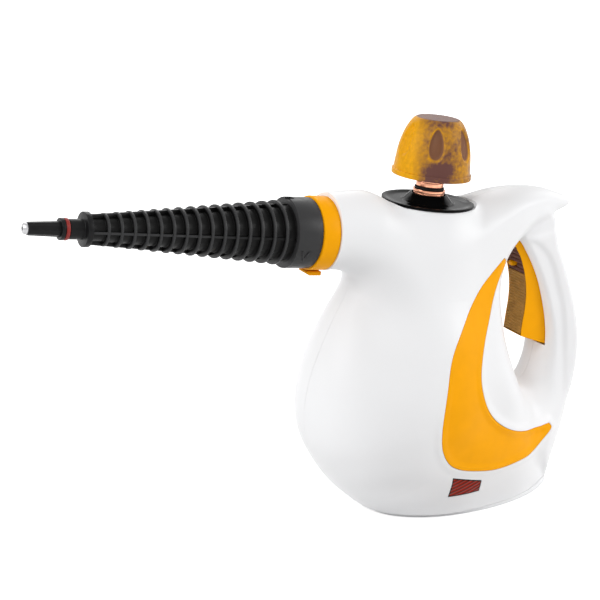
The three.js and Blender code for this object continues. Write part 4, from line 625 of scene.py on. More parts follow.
def lathe(profile, place, sides=FINE_SIDES, closed=True):
    """A line of (radius, height) pairs turned about local Z. An open line starts and ends on the axis."""
    points, rows = [], []
    turns = [2 * pi * n / sides for n in range(sides)]
    for radius, height in profile:
        if radius < MERGE:
            rows.append([len(points)] * sides)
            points.append((0, 0, height))
            continue
        rows.append(list(range(len(points), len(points) + sides)))
        points += [(radius * cos(a), radius * sin(a), height) for a in turns]
    faces = []
    for low, high in list(zip(rows, rows[1:])) + ([(rows[-1], rows[0])] if closed else []):
        for n in range(sides):
            m = (n + 1) % sides
            face = list(dict.fromkeys((low[n], low[m], high[m], high[n])))
            if len(face) > 2:
                faces.append(face)
    return new_piece([place @ Vector(p) for p in points], faces)


def rod(radius, low, high, place, sides=FINE_SIDES):
    return lathe([(0, low), (radius, low), (radius, high), (0, high)], place, sides, closed=False)


def baked(piece):
    """The piece's modifiers made part of its mesh."""
    bpy.context.view_layer.update()
    graph = bpy.context.evaluated_depsgraph_get()
    mesh = bpy.data.meshes.new_from_object(piece.evaluated_get(graph))
    piece.modifiers.clear()
    piece.data = mesh
    return piece


def combined(piece, other, operation, keep=False):
    """A Boolean by the quick solver, or by the exact one where the quick one changes nothing."""
    before = len(piece.data.polygons)
    modifier = piece.modifiers.new("join", "BOOLEAN")
    modifier.operation = operation
    modifier.solver = "MANIFOLD"
    modifier.object = other
    bpy.context.view_layer.update()
    graph = bpy.context.evaluated_depsgraph_get()
    if len(piece.evaluated_get(graph).data.polygons) in (0, before):
        modifier.solver = "EXACT"
    baked(piece)
    if not keep:
        bpy.data.objects.remove(other)
    return piece


def cut(piece, *others, keep=False):
    for other in others:
        combined(piece, other, "DIFFERENCE", keep)
    return piece


def joined(piece, *others):
    for other in others:
        combined(piece, other, "UNION")
    return piece


def bevelled(piece, width, angle=BEVEL_ANGLE):
    modifier = piece.modifiers.new("edge", "BEVEL")
    modifier.width = width
    modifier.segments = ARC_STEPS
    modifier.limit_method = "ANGLE"
    modifier.angle_limit = radians(angle)
    return smoothed(baked(piece))


def copy_of(piece):
    twin = piece.copy()
    twin.data = piece.data.copy()
    bpy.context.scene.collection.objects.link(twin)
    return twin


def place_piece(piece, node_name, slot, material=None):
    """Paints a finished piece, hides the solid it stands for and lets it ride on that solid's body."""
    piece.name = "v_" + node_name
    piece.data.materials.clear()
    piece.data.materials.append(finishes[material or slot])
    bodies = frame["record"]["behaviour"]["bodies"]
    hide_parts(node_name)
    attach(piece, next(body for body, nodes in bodies.items() if node_name in nodes))


def turned(node_name, slot, line, place, sides=FINE_SIDES, steps=ARC_STEPS, smooth=SMOOTH_ANGLE, closed=True):
    """A lathe piece put in place, its corners rounded by the third number of the line's points."""
    piece = lathe(rounded(line, steps, closed), place, sides, closed)
    place_piece(smoothed(piece, smooth), node_name, slot)


# Frames of the turned parts: local Z runs along the part's own axis.
def along(x, z, forward):
    ahead = Vector(forward).normalized()
    side = Vector((0, 0, 1)).cross(ahead).normalized()
    matrix = Matrix((side, ahead.cross(side), ahead)).transposed().to_4x4()
    matrix.translation = (x, 0, z)
    return matrix


def across(x, z):
    return along(x, z, (0, 1, 0))


pitch, lean = radians(spout.pitch), radians(seat.lean)
spout_frame = along(spout.x, spout.z, (-cos(pitch), 0, sin(pitch)))
cap_axis = Vector((sin(lean), 0, cos(lean)))
cap_frame = Matrix(((cos(lean), 0, -sin(lean)), (0, 1, 0), tuple(cap_axis))).transposed().to_4x4()
cap_frame.translation = (seat.x, 0, seat.z)


# The moulded body as a level set
def scaled(shares):
    return [tuple(v * SPAN for v in row) for row in shares]


def spline(points, per_segment, closed):
    """A centripetal Catmull-Rom line through the points."""
    points = np.array(points, float)
    count = len(points)
    out = []
    for i in range(count if closed else count - 1):
        b, c = points[i], points[(i + 1) % count]
        a = points[i - 1] if closed or i else 2 * b - c
        d = points[(i + 2) % count] if closed or i + 2 < count else 2 * c - b
        before, here, after = (max(np.linalg.norm(q - p) ** 0.5, TINY) for p, q in ((a, b), (b, c), (c, d)))
        start = ((b - a) / before - (c - a) / (before + here) + (c - b) / here) * here
        end = ((c - b) / here - (d - b) / (here + after) + (d - c) / after) * here
        for t in np.arange(per_segment) / per_segment:
            square, cube = 3 * (c - b) - 2 * start - end, 2 * (b - c) + start + end
            out.append(b + start * t + square * t**2 + cube * t**3)
    if not closed:
        out.append(points[-1])
    return np.array(out)


def depth_in(line, x, z):
    """Distance to a closed line, positive inside."""
    best = np.full(x.shape, np.inf)
    inside = np.zeros(x.shape, bool)
    for a, b in zip(line, np.roll(line, -1, axis=0)):
        ex, ez = b - a
        share = np.clip(((x - a[0]) * ex + (z - a[1]) * ez) / (ex * ex + ez * ez), 0, 1)
        best = np.minimum(best, (x - a[0] - share * ex) ** 2 + (z - a[1] - share * ez) ** 2)
        crossed = (a[1] > z) != (b[1] > z)
        if ez:
            inside ^= crossed & (x < a[0] + (z - a[1]) / ez * ex)
    return np.where(inside, np.sqrt(best), -np.sqrt(best))


def blended(stations, x, z):
    total = weights = 0
    for sx, sz, value in scaled(stations):
        square = (x - sx) ** 2 + (z - sz) ** 2
        weight = np.exp(-square / (2 * skin.blend**2)) + FAR_WEIGHT / (1 + square / MM**2)
        total = total + weight * value
        weights = weights + weight
    return total / weights


def softened(table, cells):
    """A table blurred a little along both axes, so that corners of the outline leave no crease."""
    reach = int(3 * cells) + 1
    kernel = np.exp(-(np.arange(-reach, reach + 1) ** 2) / (2 * cells**2))
    kernel /= kernel.sum()
    for axis in (0, 1):
        edges = [np.repeat(table.take([end], axis), reach, axis) for end in (0, -1)]
        wide = np.concatenate([edges[0], table, edges[1]], axis)
        table = sum(k * wide.take(range(n, n + table.shape[axis]), axis) for n, k in enumerate(kernel))
    return table


def fade(value):
    """1 far below zero, 0 far above it."""
    return 1 / (1 + np.exp(np.clip(value, -FADE_LIMIT, FADE_LIMIT)))


def soft_min(a, b, k):
    h = np.clip(0.5 + 0.5 * (b - a) / k, 0, 1)
    return b * (1 - h) + a * h - k * h * (1 - h)


def soft_max(a, b, k):
    return -soft_min(-a, -b, k)


def swelling(depth, reach, width, y):
    u = 1 - np.minimum(depth, reach) / reach
    return (np.sqrt(u * u + (y / width) ** 2) - 1) * np.minimum(reach, width)


body_line = spline(scaled(BODY_OUTLINE_SHARES), LINE_STEPS, True)
handle_line = spline(scaled(HANDLE_OUTLINE_SHARES), LINE_STEPS, True)
crescent_edges = (CRESCENT_OUTER_SHARES, CRESCENT_INNER_SHARES)
crescent_line = np.vstack([spline(scaled(edge), INLAY_STEPS, False) for edge in crescent_edges])
crease_line = spline(scaled(HANDLE_CREASE_SHARES), INLAY_STEPS, False)


class Body:
    """Signed like a distance, in metres: negative inside. Side-view tables are sampled once."""

    def __init__(self):
        self.x = np.arange(skin.low[0], skin.high[0], skin.table)
        self.z = np.arange(skin.low[2], skin.high[2], skin.table)
        x, z = np.meshgrid(self.x, self.z, indexing="ij")
        cells = skin.soften / skin.table
        body, handle = (softened(depth_in(line, x, z), cells) for line in (body_line, handle_line))
        sag = skin.sag * fade((z - skin.sag_top) / skin.sag_top_fade)
        sag *= fade((skin.sag_low - z) / skin.sag_low_fade)
        away = -depth_in(crescent_line, x, z)
        raised = border.height * fade((away - border.width) / border.fall) * (away > -skin.cell * 2)
        raised *= fade((z - border.top) / border.fade)
        closed_strip = np.vstack([crease_line, scaled(STRIP_CLOSE_SHARES)])
        proud = strip.height * fade(-depth_in(closed_strip, x, z) / strip.fade)
        proud *= fade((strip.low - z) / strip.low_fade) * fade((z - strip.top) / strip.top_fade)
        self.tables = np.stack([
            body, handle, blended(BODY_WIDTH_SHARES, x, z), blended(BODY_ROUND_SHARES, x, z),
            blended(HANDLE_WIDTH_SHARES, x, z), blended(HANDLE_ROUND_SHARES, x, z), skin.crease + sag,
            softened(raised, cells), softened(proud, cells),
        ], axis=-1)

    def columns(self, x, z):
        px = np.clip((x - self.x[0]) / skin.table, 0, len(self.x) - 1 - TINY)
        pz = np.clip((z - self.z[0]) / skin.table, 0, len(self.z) - 1 - TINY)
        ix, iz = px.astype(int), pz.astype(int)
        tx, tz = (px - ix)[..., None], (pz - iz)[..., None]
        t = self.tables
        low = t[ix, iz] * (1 - tx) + t[ix + 1, iz] * tx
        high = t[ix, iz + 1] * (1 - tx) + t[ix + 1, iz + 1] * tx
        return np.moveaxis(low * (1 - tz) + high * tz, -1, 0)

    def __call__(self, x, y, z, plain=False):
        flat_x, flat_z = np.broadcast_arrays(x, z)
        body, handle, body_w, body_r, handle_w, handle_r, soft, raised, proud = self.columns(flat_x, flat_z)
        loop = swelling(body, body_r, body_w, y)
        grip = swelling(handle, handle_r, handle_w, y)
        px, pz = x - seat.x, z - seat.z
        height = px * cap_axis.x + pz * cap_axis.z
        around = np.sqrt((px * cap_axis.z - pz * cap_axis.x) ** 2 + y * y)
        wall = around - seat.boss + seat.taper * (height + seat.drop)
        boss = np.maximum(np.maximum(wall, height + seat.boss_top), -(height + seat.boss_depth))
        full = soft_min(soft_min(loop, boss, skin.seat_blend), grip, soft)
        if plain:
            return full
        full = full - raised - proud
        # The scoop above the disc rises behind it in a soft bowl.
        lip = seat.pocket + seat.step
        near = seat.scoop_rise * np.clip((around - lip) / (seat.scoop - lip), 0, None)
        slope = (seat.far_rise - seat.scoop_rise) / (seat.far - seat.scoop)
        wide = seat.scoop_rise + slope * (around - seat.scoop)
        bowl = np.where(around < seat.scoop, near, wide)
        return soft_max(full, (height - bowl) * skin.scoop_share, seat.soft)

    def gradient(self, points, plain=False):
        step = skin.probe
        out = np.zeros_like(points)
        for axis in range(3):
            shift = np.zeros(3)
            shift[axis] = step
            ahead, back = points + shift, points - shift
            out[:, axis] = (self(*ahead.T, plain) - self(*back.T, plain)) / (2 * step)
        return out


def net(level, low, high, cell):
    """The zero surface of a level set as a closed quad net."""
    axes = [np.arange(a, b + cell, cell) for a, b in zip(low, high)]
    values = level(axes[0][:, None, None], axes[1][None, :, None], axes[2][None, None, :])
    inside = values < 0
    corners = [(i, j, k) for i in (0, 1) for j in (0, 1) for k in (0, 1)]
    size = [n - 1 for n in inside.shape]

    def shifted(array, corner):
        return array[tuple(slice(c, c + n) for c, n in zip(corner, size))]

    count = sum(shifted(inside, c).astype(int) for c in corners)
    mixed_cells = (count > 0) & (count < len(corners))
    index = -np.ones(mixed_cells.shape, int)
    index[mixed_cells] = np.arange(mixed_cells.sum())
    where = np.array(np.nonzero(mixed_cells)).T
    total, found = np.zeros((len(where), 3)), np.zeros(len(where))
    for a in corners:
        for axis in range(3):
            if a[axis]:
                continue
            b = tuple(v + (n == axis) for n, v in enumerate(a))
            va = values[tuple((where + a).T)]
            vb = values[tuple((where + b).T)]
            crossing = (va < 0) != (vb < 0)
            spot = np.tile(np.array(a, float), (crossing.sum(), 1))
            spot[:, axis] += va[crossing] / (va[crossing] - vb[crossing])
            total[crossing] += spot
            found[crossing] += 1
    points = np.array([a[0] for a in axes]) + (where + total / found[:, None]) * cell
    faces = []
    for axis in range(3):
        u, v = [n for n in range(3) if n != axis]
        first, second = [slice(None)] * 3, [slice(None)] * 3
        first[axis], second[axis] = slice(0, -1), slice(1, None)
        inner = inside[tuple(first)]
        spots = np.array(np.nonzero(inner != inside[tuple(second)])).T
        fits = (spots[:, u] > 0) & (spots[:, v] > 0)
        fits &= (spots[:, u] < inside.shape[u] - 1) & (spots[:, v] < inside.shape[v] - 1)
        spots = spots[fits]
        quad = []
        for du, dv in ((1, 1), (0, 1), (0, 0), (1, 0)):
            moved = spots.copy()
            moved[:, u] -= du
            moved[:, v] -= dv
            quad.append(index[tuple(moved.T)])
        quad = np.array(quad).T
        flip = inner[tuple(spots.T)] ^ (axis == 1)
        quad[~flip] = quad[~flip][:, ::-1]
        faces.append(quad)
    return points, np.vstack(faces)


def skin_piece(body, offset, cell, plain=False):
    """The surface that lies offset inside the body's skin. Each point of the net is pulled onto it."""
    def level(x, y, z):
        return body(x, y, z, plain) + offset

    points, faces = net(level, skin.low, skin.high, cell)
    for _ in range(skin.settle_steps):
        slope = body.gradient(points, plain)
        square = np.maximum((slope**2).sum(1), skin.least_slope)
        points = points - np.clip(level(*points.T) / square, -skin.settle, skin.settle)[:, None] * slope
    return new_piece(points, faces)


def skin_normals(piece, body):
    """Faces on the smooth skin get the skin's own normals, so that cuts leave no marks in the gloss."""
    mesh = piece.data
    points = np.zeros(len(mesh.vertices) * 3)
    mesh.vertices.foreach_get("co", points)
    points = points.reshape(-1, 3)
    on_skin = np.abs(body(*points.T)) < skin.on_skin
    slope = np.zeros_like(points)
    slope[on_skin] = body.gradient(points[on_skin])
    slope /= np.maximum(np.linalg.norm(slope, axis=1), TINY)[:, None]
    corner = np.zeros(len(mesh.loops), int)
    mesh.loops.foreach_get("vertex_index", corner)
    flat = np.zeros(len(mesh.polygons) * 3)
    mesh.polygons.foreach_get("normal", flat)
    flat = flat.reshape(-1, 3)
    sizes = np.zeros(len(mesh.polygons), int)
    mesh.polygons.foreach_get("loop_total", sizes)
    owner = np.repeat(np.arange(len(sizes)), sizes)
    alike = (slope[corner] * flat[owner]).sum(1) > cos(radians(skin.normal_angle))
    agree = on_skin[corner] & alike
    good = np.minimum.reduceat(agree.astype(int), np.concatenate([[0], np.cumsum(sizes)[:-1]])).astype(bool)
    mesh.shade_smooth()
    normals = np.where(good[owner][:, None], slope[corner], flat[owner])
    mesh.normals_split_custom_set(normals.tolist())
    return piece


# Housing, inlays and lamp
SIDES = {"left": (-OVERRUN, -skin.wall), "right": (skin.wall, OVERRUN)}


def grown(line, by):
    line = np.array(line)
    ahead, back = np.roll(line, -1, axis=0), np.roll(line, 1, axis=0)
    area = (line[:, 0] * ahead[:, 1] - ahead[:, 0] * line[:, 1]).sum()
    run = ahead - back
    run /= np.linalg.norm(run, axis=1)[:, None]
    side = by if area > 0 else -by
    return line + side * np.stack([run[:, 1], -run[:, 0]], axis=1)


def latch_gap(rear, front):
    """Room for the latch under the ring and the spout."""
    half = latch.width / 2 + GAP
    return brick((-half, -OVERRUN, rear - GAP), (half, latch.sink - GAP - ring.outer, front), spout_frame)


def hollow(body):
    """The space inside the walls, with the screw bosses left standing."""
    space = joined(
        skin_piece(body, skin.wall, skin.inner_cell, plain=True),
        rod(spout.bore, -spout.bore_end, OVERRUN, spout_frame),
    )
    bosses = [rod(screw.boss, 0, OVERRUN, across(x, z), HIDDEN_SIDES) for x, z in scaled(BOSS_SHARES)]
    return cut(space, rod(seat.keep, -seat.keep_depth, OVERRUN, cap_frame), *bosses)


def make_housing(body):
    """Places both housing halves and returns the whole body, still without its hollow and pockets."""
    whole = cut(
        skin_piece(body, 0, skin.cell),
        brick(FAR_LOW, (OVERRUN, OVERRUN, skin.floor)),
        rod(OVERRUN, -spout.face_back, OVERRUN, spout_frame, HIDDEN_SIDES),
        latch_gap(latch.ahead - latch.length - latch.travel, 0),
    )
    lip = seat.pocket + seat.step
    seat_line = [(0, -seat.depth), (seat.pocket, -seat.depth), (lip, 0), (lip, seat.far), (0, seat.far)]
    gland_hole = rod(gland.radius + GAP, -gland.inside, OVERRUN, along(gland.x, gland.z, (1, 0, 0)))
    spots = scaled(BOSS_SHARES)
    wells = [rod(screw.well, screw.well_floor, OVERRUN, across(x, z), HIDDEN_SIDES) for x, z in spots]
    deep = skin_piece(body, skin.well, skin.well_cell)
    room = grown(crescent_line, skin.line_gap)
    pockets = [cut(prism(room, *ends), deep, keep=True) for ends in SIDES.values()]
    lamp_room = prism(grown(scaled(LAMP_SHARES), lamp.grow), -lamp.deep, -skin.wall)
    slot = prism(scaled(SLOT_SHARES), -trigger.slot, trigger.slot)
    seat_room = lathe(seat_line, cap_frame, closed=False)
    shell = cut(copy_of(whole), seat_room, hollow(body), slot, gland_hole, *wells, *pockets, lamp_room)
    left = brick(FAR_LOW, (OVERRUN, -skin.seam, OVERRUN))
    right = brick((-OVERRUN, skin.seam, -OVERRUN), FAR_HIGH)
    for name, side in (("housing_left", left), ("housing_right", right)):
        half = combined(copy_of(shell), side, "INTERSECT")
        place_piece(skin_normals(half, body), name, "white")
    for scratch in (deep, shell):
        bpy.data.objects.remove(scratch)
    return whole


def make_inlays(body, whole):
    """The crescents and the lamp window, cut from the whole body so that they follow its skin."""
    inlays = [("crescent_" + side, "yellow", crescent_line, ends, skin.inlay) for side, ends in SIDES.items()]
    inlays.append(("indicator_lens", "lamp", scaled(LAMP_SHARES), (-lamp.deep, -skin.wall), lamp.thick))
    for name, slot, line, ends, thick in inlays:
        inlay = combined(prism(line, *ends), whole, "INTERSECT", keep=True)
        inlay = cut(inlay, skin_piece(body, thick, skin.well_cell))
        place_piece(skin_normals(inlay, body), name, slot)


def make_foot():
    f, e = foot, foot.edge
    turns = [2 * pi * n / f.corners for n in range(f.corners)]

    def slab(rows):
        """An oval slab from rows of (inset, height), low to high."""
        return layered([
            [((f.length - inset) * cos(a), (f.width - inset) * sin(a), z) for a in turns]
            for inset, z in rows
        ])

    arc = [pi / 2 * n / ARC_STEPS for n in range(ARC_STEPS + 1)]
    rows = [(e - e * sin(a), e - e * cos(a)) for a in arc]
    rows += [(e - e * cos(a), f.thick - e + e * sin(a)) for a in arc]
    plate = cut(slab(rows), slab([(f.rim, -f.thick), (f.rim, f.recess - e / 2), (f.rim + e / 2, f.recess)]))
    for x in (-foot_screw.x, foot_screw.x):
        for y in (-foot_screw.y, foot_screw.y):
            spot = Matrix.Translation((x, y, 0))
            plate = joined(plate, rod(foot_screw.sink * 2, 0, f.recess + e, spot, HIDDEN_SIDES))
            top = foot_screw.recess + screw.head_tall
            plate = cut(plate, rod(foot_screw.sink, -f.thick, top, spot, HIDDEN_SIDES))
    place_piece(smoothed(plate), "foot_plate", "white")


# Spout: ring, latch and nozzle
def make_ring():
    r = ring
    back = -r.length - r.spigot_length
    line = [
        (r.recess, back), (r.spigot, back), (r.spigot, -r.length), (r.outer, -r.length, r.edge / 2),
        (r.outer, 0, r.edge), (r.bore, 0, r.edge / 2), (r.bore, -r.lip), (r.recess, -r.lip),
    ]
    piece = cut(lathe(rounded(line), spout_frame), latch_gap(-r.length, GAP))
    place_piece(smoothed(piece), "nozzle_ring", "yellow")


def make_latch():
    top, low = latch.sink - ring.outer - 2 * GAP, -ring.outer - latch.rise
    rear, front, under = latch.ahead - latch.length, latch.ahead, latch.ahead - latch.chamfer
    line = [(rear, top), (front, top), (front, top - latch.rise / 2), (under, low), (rear, low)]
    sides = (-latch.width / 2, latch.width / 2)
    piece = layered([[spout_frame @ Vector((side, up, ahead)) for ahead, up in line] for side in sides])
    piece = bevelled(piece, ring.edge / 2)
    # Fine grip ridges across the tab's underside.
    for n in range(latch.grooves):
        start = under - latch.groove_start - latch.groove_pitch * n
        end = (latch.width, low + latch.groove, start + latch.groove_wide)
        piece = cut(piece, brick((-latch.width, low - GAP, start), end, spout_frame))
    place_piece(smoothed(piece), "nozzle_latch", "yellow")


def nozzle_line():
    n, e = nozzle, nozzle.edge
    line = [
        (n.hollow, n.start - n.spigot_back), (n.spigot, n.start - n.spigot_back, e), (n.spigot, n.start),
        (n.collar, n.start, n.collar_edge), (n.collar, n.end, n.collar_edge), (n.neck, n.end, e),
        (n.neck, n.first - n.rib / 2, e),
    ]
    for i in range(n.ribs):
        share = i / (n.ribs - 1)
        rib = n.rib_base + (n.rib_tip - n.rib_base) * share
        slim = rib * (n.core_base + (n.core_tip - n.core_base) * share)
        rear = n.first + n.pitch * i - n.rib / 2
        front = rear + n.rib
        following = n.flange_start if i == n.ribs - 1 else rear + n.pitch
        line += [(rib, rear, e), (rib, front, e), (slim, front, e), (slim, following, e)]
    return line + [
        (n.flange, n.flange_start, e), (n.flange, n.flange_end, e), (n.rod, n.flange_end, n.step_edge),
        (n.rod, n.rod_end, e), (n.ring_seat, n.rod_end), (n.ring_seat, n.ring_end), (n.collet, n.ring_end, e),
        (n.collet, n.collet_end, e), (n.tip_base, n.collet_end, n.step_edge), (n.bore, n.collet_end),
        (n.hollow / 2, n.first), (n.hollow, n.start),
    ]


def make_nozzle():
    n = nozzle
    piece = lathe(rounded(nozzle_line()), spout_frame)
    base, tip = n.rib_base * n.web_reach, n.rib_tip * n.web_reach
    rear, front = n.end - n.rib, n.flange_start + n.rib
    line = [(n.hollow, rear), (base, rear), (base, n.first), (tip, front), (n.rod, front)]
    for turn in range(n.webs):
        spin = spout_frame @ Matrix.Rotation(2 * pi * turn / n.webs, 4, "Z")
        sides = (-n.web / 2, n.web / 2)
        piece = joined(piece, layered([[spin @ Vector((r, side, h)) for r, h in line] for side in sides]))
    notch_low = (-n.notch_wide / 2, n.collar - n.notch_deep, n.end - n.notch_long)
    piece = cut(piece, brick(notch_low, (n.notch_wide / 2, OVERRUN, n.end + GAP), spout_frame))
    # Two bayonet lugs behind the collar.
    for side in (-1, 1):
        low, high = sorted((side * n.spigot * n.lug_share, side * (ring.recess - n.lug)))
        lug = brick((low, -n.lug_half, n.lug_back), (high, n.lug_half, n.lug_front), spout_frame)
        piece = joined(piece, lug)
    piece = joined(piece, mark_piece(), tip_piece())
    place_piece(smoothed(piece, n.smooth), "long_nozzle", "black", "nozzle")


def mark_piece():
    """A small raised V low on the collar's near side that shows where it locks."""
    n = nozzle
    spin = spout_frame @ Matrix.Rotation(radians(n.mark_turn), 4, "Z")
    tall, thick, middle = n.mark_tall, n.mark_thick, n.end - n.mark_back
    rear, front = middle - n.mark, middle + n.mark
    flat = [
        (tall, rear), (-tall, middle), (tall, front), (tall, front - thick), (2 * thick - tall, middle),
        (tall, rear + thick),
    ]
    radii = (n.collar - n.mark_low, n.collar + n.mark_rise)
    return layered([[spin @ Vector((r, a, h)) for a, h in flat] for r in radii])


def tip_piece():
    """The faceted tip in front of the collet, with the bore for its insert."""
    n = nozzle
    line = [
        (n.bore, n.ring_end + GAP), (n.tip_back, n.ring_end + GAP), (n.tip_base, n.tip_start),
        (n.tip, n.tip_full), (n.tip_rim, n.tip_end), (insert.outer + GAP, n.tip_end),
        (n.bore, insert.start - GAP),
    ]
    return lathe(line, spout_frame, n.tip_sides)


def make_tip():
    i, end = insert, nozzle.tip_end + GAP
    turned("nozzle_tip_insert", "steel", [
        (i.bore, i.start), (i.outer, i.start), (i.outer, end), (i.lip, end, i.lip_edge),
        (i.lip_front, i.lip_end, i.front_edge), (i.step, i.end, i.step_edge), (i.bore, i.end, i.lip_edge),
    ], spout_frame)
    s = seal_ring
    half, wide = (s.end - s.start) / 2, (s.outer - s.inner) / 2
    turns = [2 * pi * k / s.sides for k in range(s.sides)]
    line = [(s.inner + wide + wide * cos(a), s.start + half + half * sin(a)) for a in turns]
    turned("nozzle_o_ring", "red_rubber", line, spout_frame, smooth=s.smooth)


# Filler: disc, neck and cap
def make_filler():
    d = disc
    turned("funnel_disc", "gloss_black", [
        (d.bore, -d.base), (d.outer - d.edge, -d.base, d.low_edge), (d.outer, -d.base + d.edge, d.low_edge),
        (d.outer, 0, d.edge), (d.rim, 0, d.rim_edge), (d.dish_out, -d.dish, d.out_edge),
        (d.dish_in, -d.dish, d.in_edge), (d.boss_foot, 0, d.foot_edge), (d.boss, d.boss_top, d.rim_edge),
        (d.bore, d.boss_top, d.top_edge),
    ], cap_frame, d.sides, d.arc_steps, d.smooth)
    n, step = neck, neck.flange_thick - neck.foot
    turned("filler_neck", "brass", [
        (n.bore, -n.foot), (n.flange, -n.foot), (n.flange, step), (n.outer, step),
        (n.waist, n.waist_low, n.edge), (n.waist, n.waist_high, n.edge),
        (n.groove, n.groove_low), (n.groove, n.groove_high),
        (n.outer, n.groove_high, n.edge), (n.outer, n.top, n.top_edge), (n.bore, n.top, n.bore_edge),
    ], cap_frame)
    s = stem
    threads = [
        (s.thread + s.crest * out, s.low + s.pitch * (k + share))
        for k in range(s.threads) for share, out in s.thread_rows
    ]
    turned("cap_stem", "brass", [
        (0, s.low), *threads, (s.thread, s.collar_low), (s.collar, s.collar_low, s.collar_edge),
        (s.collar, s.groove_low, s.rim_edge), (s.groove, s.groove_low, s.groove_edge),
        (s.groove, s.groove_high, s.groove_edge), (s.collar, s.groove_high, s.rim_edge),
        (s.collar, s.collar_top, s.collar_edge), (s.shank, s.collar_top), (s.shank, s.shank_top, s.top_edge),
        (0, s.shank_top),
    ], cap_frame, closed=False)
    e = seal
    line = [(e.inner, e.low), (e.outer, e.low), (e.outer, e.top), (e.inner, e.top)]
    turned("cap_seal", "rubber", [(*point, e.edge) for point in line], cap_frame)
    c, under = core, core.deck - GAP
    line = [
        (c.bore, under), (c.hub, under), (c.hub, c.low), (c.plate, c.low), (c.plate, c.deck), (c.hub, c.deck),
        (c.hub, c.top), (c.bore, c.top),
    ]
    turned("cap_core", "black", [(*point, c.edge) for point in line], cap_frame)


def make_cap():
    c, outer = cap, scaled(CAP_SIDE_SHARES)
    side = spline(outer, LINE_STEPS, False).tolist()
    corners = [(c.lip_low, c.low), (c.lip, c.low, c.lip_edge), (c.lip, c.lip_top, c.lip_edge), side[0]]
    lip = rounded(corners, closed=False)
    crown = rounded([side[-1], (outer[-1][0] - c.crown_in, c.top, c.crown), (0, c.top)], c.arc_steps, False)
    dense = []
    for (ra, ha), (rb, hb) in zip(side, side[1:]):
        dense += [(ra, ha), ((ra + rb) / 2, (ha + hb) / 2)]
    line = scaled(CAP_INNER_SHARES)[::-1] + lip[:-1] + dense + crown
    piece = lathe(line, cap_frame, c.sides, closed=False)
    press_flutes(piece, side, outer[-1][0])
    place_piece(smoothed(piece, c.smooth), "cap_knob", "amber")


def press_flutes(piece, side, least_radius):
    """Oval recesses round the cap. The attribute says how deep in a recess each point lies, from 0 to 1."""
    c, back = cap, cap_frame.inverted()
    pitch_angle = 2 * pi / c.flutes
    heights, radii = [h for _, h in side], [r for r, _ in side]
    recess = piece.data.attributes.new("recess", "FLOAT", "POINT")
    for vertex, shade in zip(piece.data.vertices, recess.data):
        local = back @ vertex.co
        radius = hypot(local.x, local.y)
        if radius < least_radius or not c.lip_top < local.z < c.top - c.flute_top:
            continue
        if radius < np.interp(local.z, heights, radii) - c.wall:
            continue
        turn = (atan2(local.y, local.x) + pitch_angle / 2) % pitch_angle - pitch_angle / 2
        v = (local.z - c.flute_at) / c.flute_tall
        u = turn * radius / (c.flute_wide * (1 - c.flute_narrow * v))
        if u * u + v * v < 1:
            push = min(1, (1 - u * u - v * v) / c.flute_wall)
            shade.value = push * push * (3 - 2 * push)
            move = c.flute_deep * shade.value / radius
            local.x -= local.x * move
            local.y -= local.y * move
            vertex.co = cap_frame @ local


# Trigger group
pad_curve = spline(scaled(PAD_SHARES), LINE_STEPS, False)


def pad_front(z):
    return float(np.interp(z, pad_curve[:, 1], pad_curve[:, 0]))


def lock_room():
    """The slot in which the lock slides."""
    half = lock.tall / 2 + GAP
    corner = (lock.x + lock.deep + GAP, lock.y + lock.width + GAP, lock.z + half)
    return brick((-OVERRUN, lock.y - lock.slot - lock.width, lock.z - half), corner)


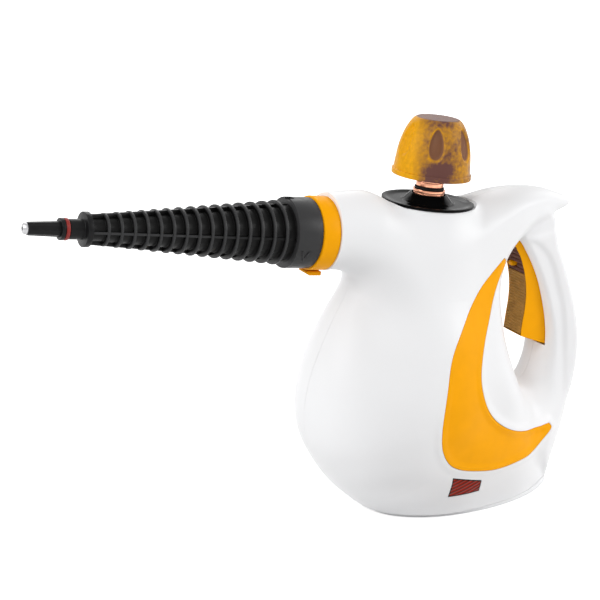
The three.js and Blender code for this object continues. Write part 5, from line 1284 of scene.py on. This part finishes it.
def make_trigger():
    t = trigger
    low, high = pad_curve[0][1], pad_curve[-1][1]
    corners = scaled(TRIGGER_SHARES)
    line = spline(corners[:t.front_rows], t.front_steps, False).tolist() + corners[t.front_rows:]
    well = [(pad_front(z) + t.pad_depth + GAP, z) for z in np.linspace(low, high, t.well_rows)]
    well += [(x - OVERRUN, z) for x, z in reversed(well)]
    piece = cut(prism(line, -t.width, t.width), prism(well, -t.pad - GAP, t.pad + GAP), lock_room())
    piece = bevelled(piece, t.edge, t.bevel_angle)
    piece = cut(piece, rod(t.eye, -OVERRUN, OVERRUN, across(t.pivot_x, t.pivot_z), HIDDEN_SIDES))
    place_piece(smoothed(piece), "trigger", "yellow")
    # The finger face has fine ribs low and coarse sunk ones above.
    front = []
    fine = (low + GAP, t.mid, t.ribs, t.rib, t.sink)
    sunk = (t.mid, high - GAP, t.coarse, t.coarse_rib, t.sink + t.coarse_sink)
    for start, end, count, deep, sink in (fine, sunk):
        step = (end - start) / count
        rows = [(start + step * (n + share), out) for n in range(count) for share, out in PAD_RIB_SHARES]
        front += [(pad_front(z) + sink - out * deep, z) for z, out in rows]
    back = [(pad_front(z) + t.pad_depth, z) for z in np.linspace(high - GAP, low + GAP, t.back_rows)]
    pad = cut(prism(front + back, -t.pad, t.pad), lock_room())
    place_piece(smoothed(pad, t.smooth), "trigger_pad", "pad")
    slider_low = (pad_front(lock.z) - lock.proud, lock.y - lock.width, lock.z - lock.tall / 2)
    slider = brick(slider_low, (lock.x + lock.deep, lock.y + lock.width, lock.z + lock.tall / 2))
    place_piece(bevelled(slider, lock.edge), "trigger_lock", "yellow")


# Screws and gland
def screw_piece(low, length, place):
    """A pan-head screw with a cross recess. The head starts at low and faces local +Z."""
    s, top, tip = screw, low + screw.head_tall, low - length
    line = [
        (0, tip), (s.shank * s.point_share, tip), (s.shank, tip + 2 * s.shank), (s.shank, low),
        (s.head, low, s.low_edge), (s.head, top - s.side, s.side_edge),
        (s.head * s.crown_share, top, s.crown_edge), (0, top),
    ]
    piece = lathe(rounded(line, closed=False), place, HIDDEN_SIDES, closed=False)
    for wide, tall in ((s.cross_wide, s.cross), (s.cross, s.cross_wide)):
        piece = cut(piece, brick((-wide, -tall, top - s.cross_deep), (wide, tall, top + s.head), place))
    return smoothed(piece)


def make_screws():
    for i, (x, z) in enumerate(scaled(BOSS_SHARES), 1):
        piece = screw_piece(screw.well_floor + GAP, screw.length, across(x, z))
        place_piece(piece, f"housing_screw_{i}", "steel")
    low = -foot_screw.recess - screw.head_tall
    for i in range(1, foot_screw.count + 1):
        spot = sum(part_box(f"foot_screw_{i}"), Vector()) / 2
        place = Matrix.Translation((spot.x, spot.y, 0)) @ Matrix.Rotation(pi, 4, "X")
        place_piece(screw_piece(low, foot_screw.length + low, place), f"foot_screw_{i}", "steel")


def make_gland():
    g = gland
    step = g.thick - g.inside
    turned("cord_gland", "rubber", [
        (g.bore, -g.inside, g.low_edge), (g.flange, -g.inside, g.flange_edge),
        (g.flange, step, g.flange_edge), (g.radius, step),
        (g.radius, -g.flush, g.edge), (g.bore, -g.flush, g.edge),
    ], along(g.x, g.z, (1, 0, 0)))


set_camera()
set_world()
set_lights()
lay_floor()

finishes = make_finishes()
paint_hidden()
moulded = Body()
blank = make_housing(moulded)
make_inlays(moulded, blank)
bpy.data.objects.remove(blank)
make_foot()
make_ring()
make_latch()
make_nozzle()
make_tip()
make_filler()
make_cap()
make_trigger()
make_screws()
make_gland()
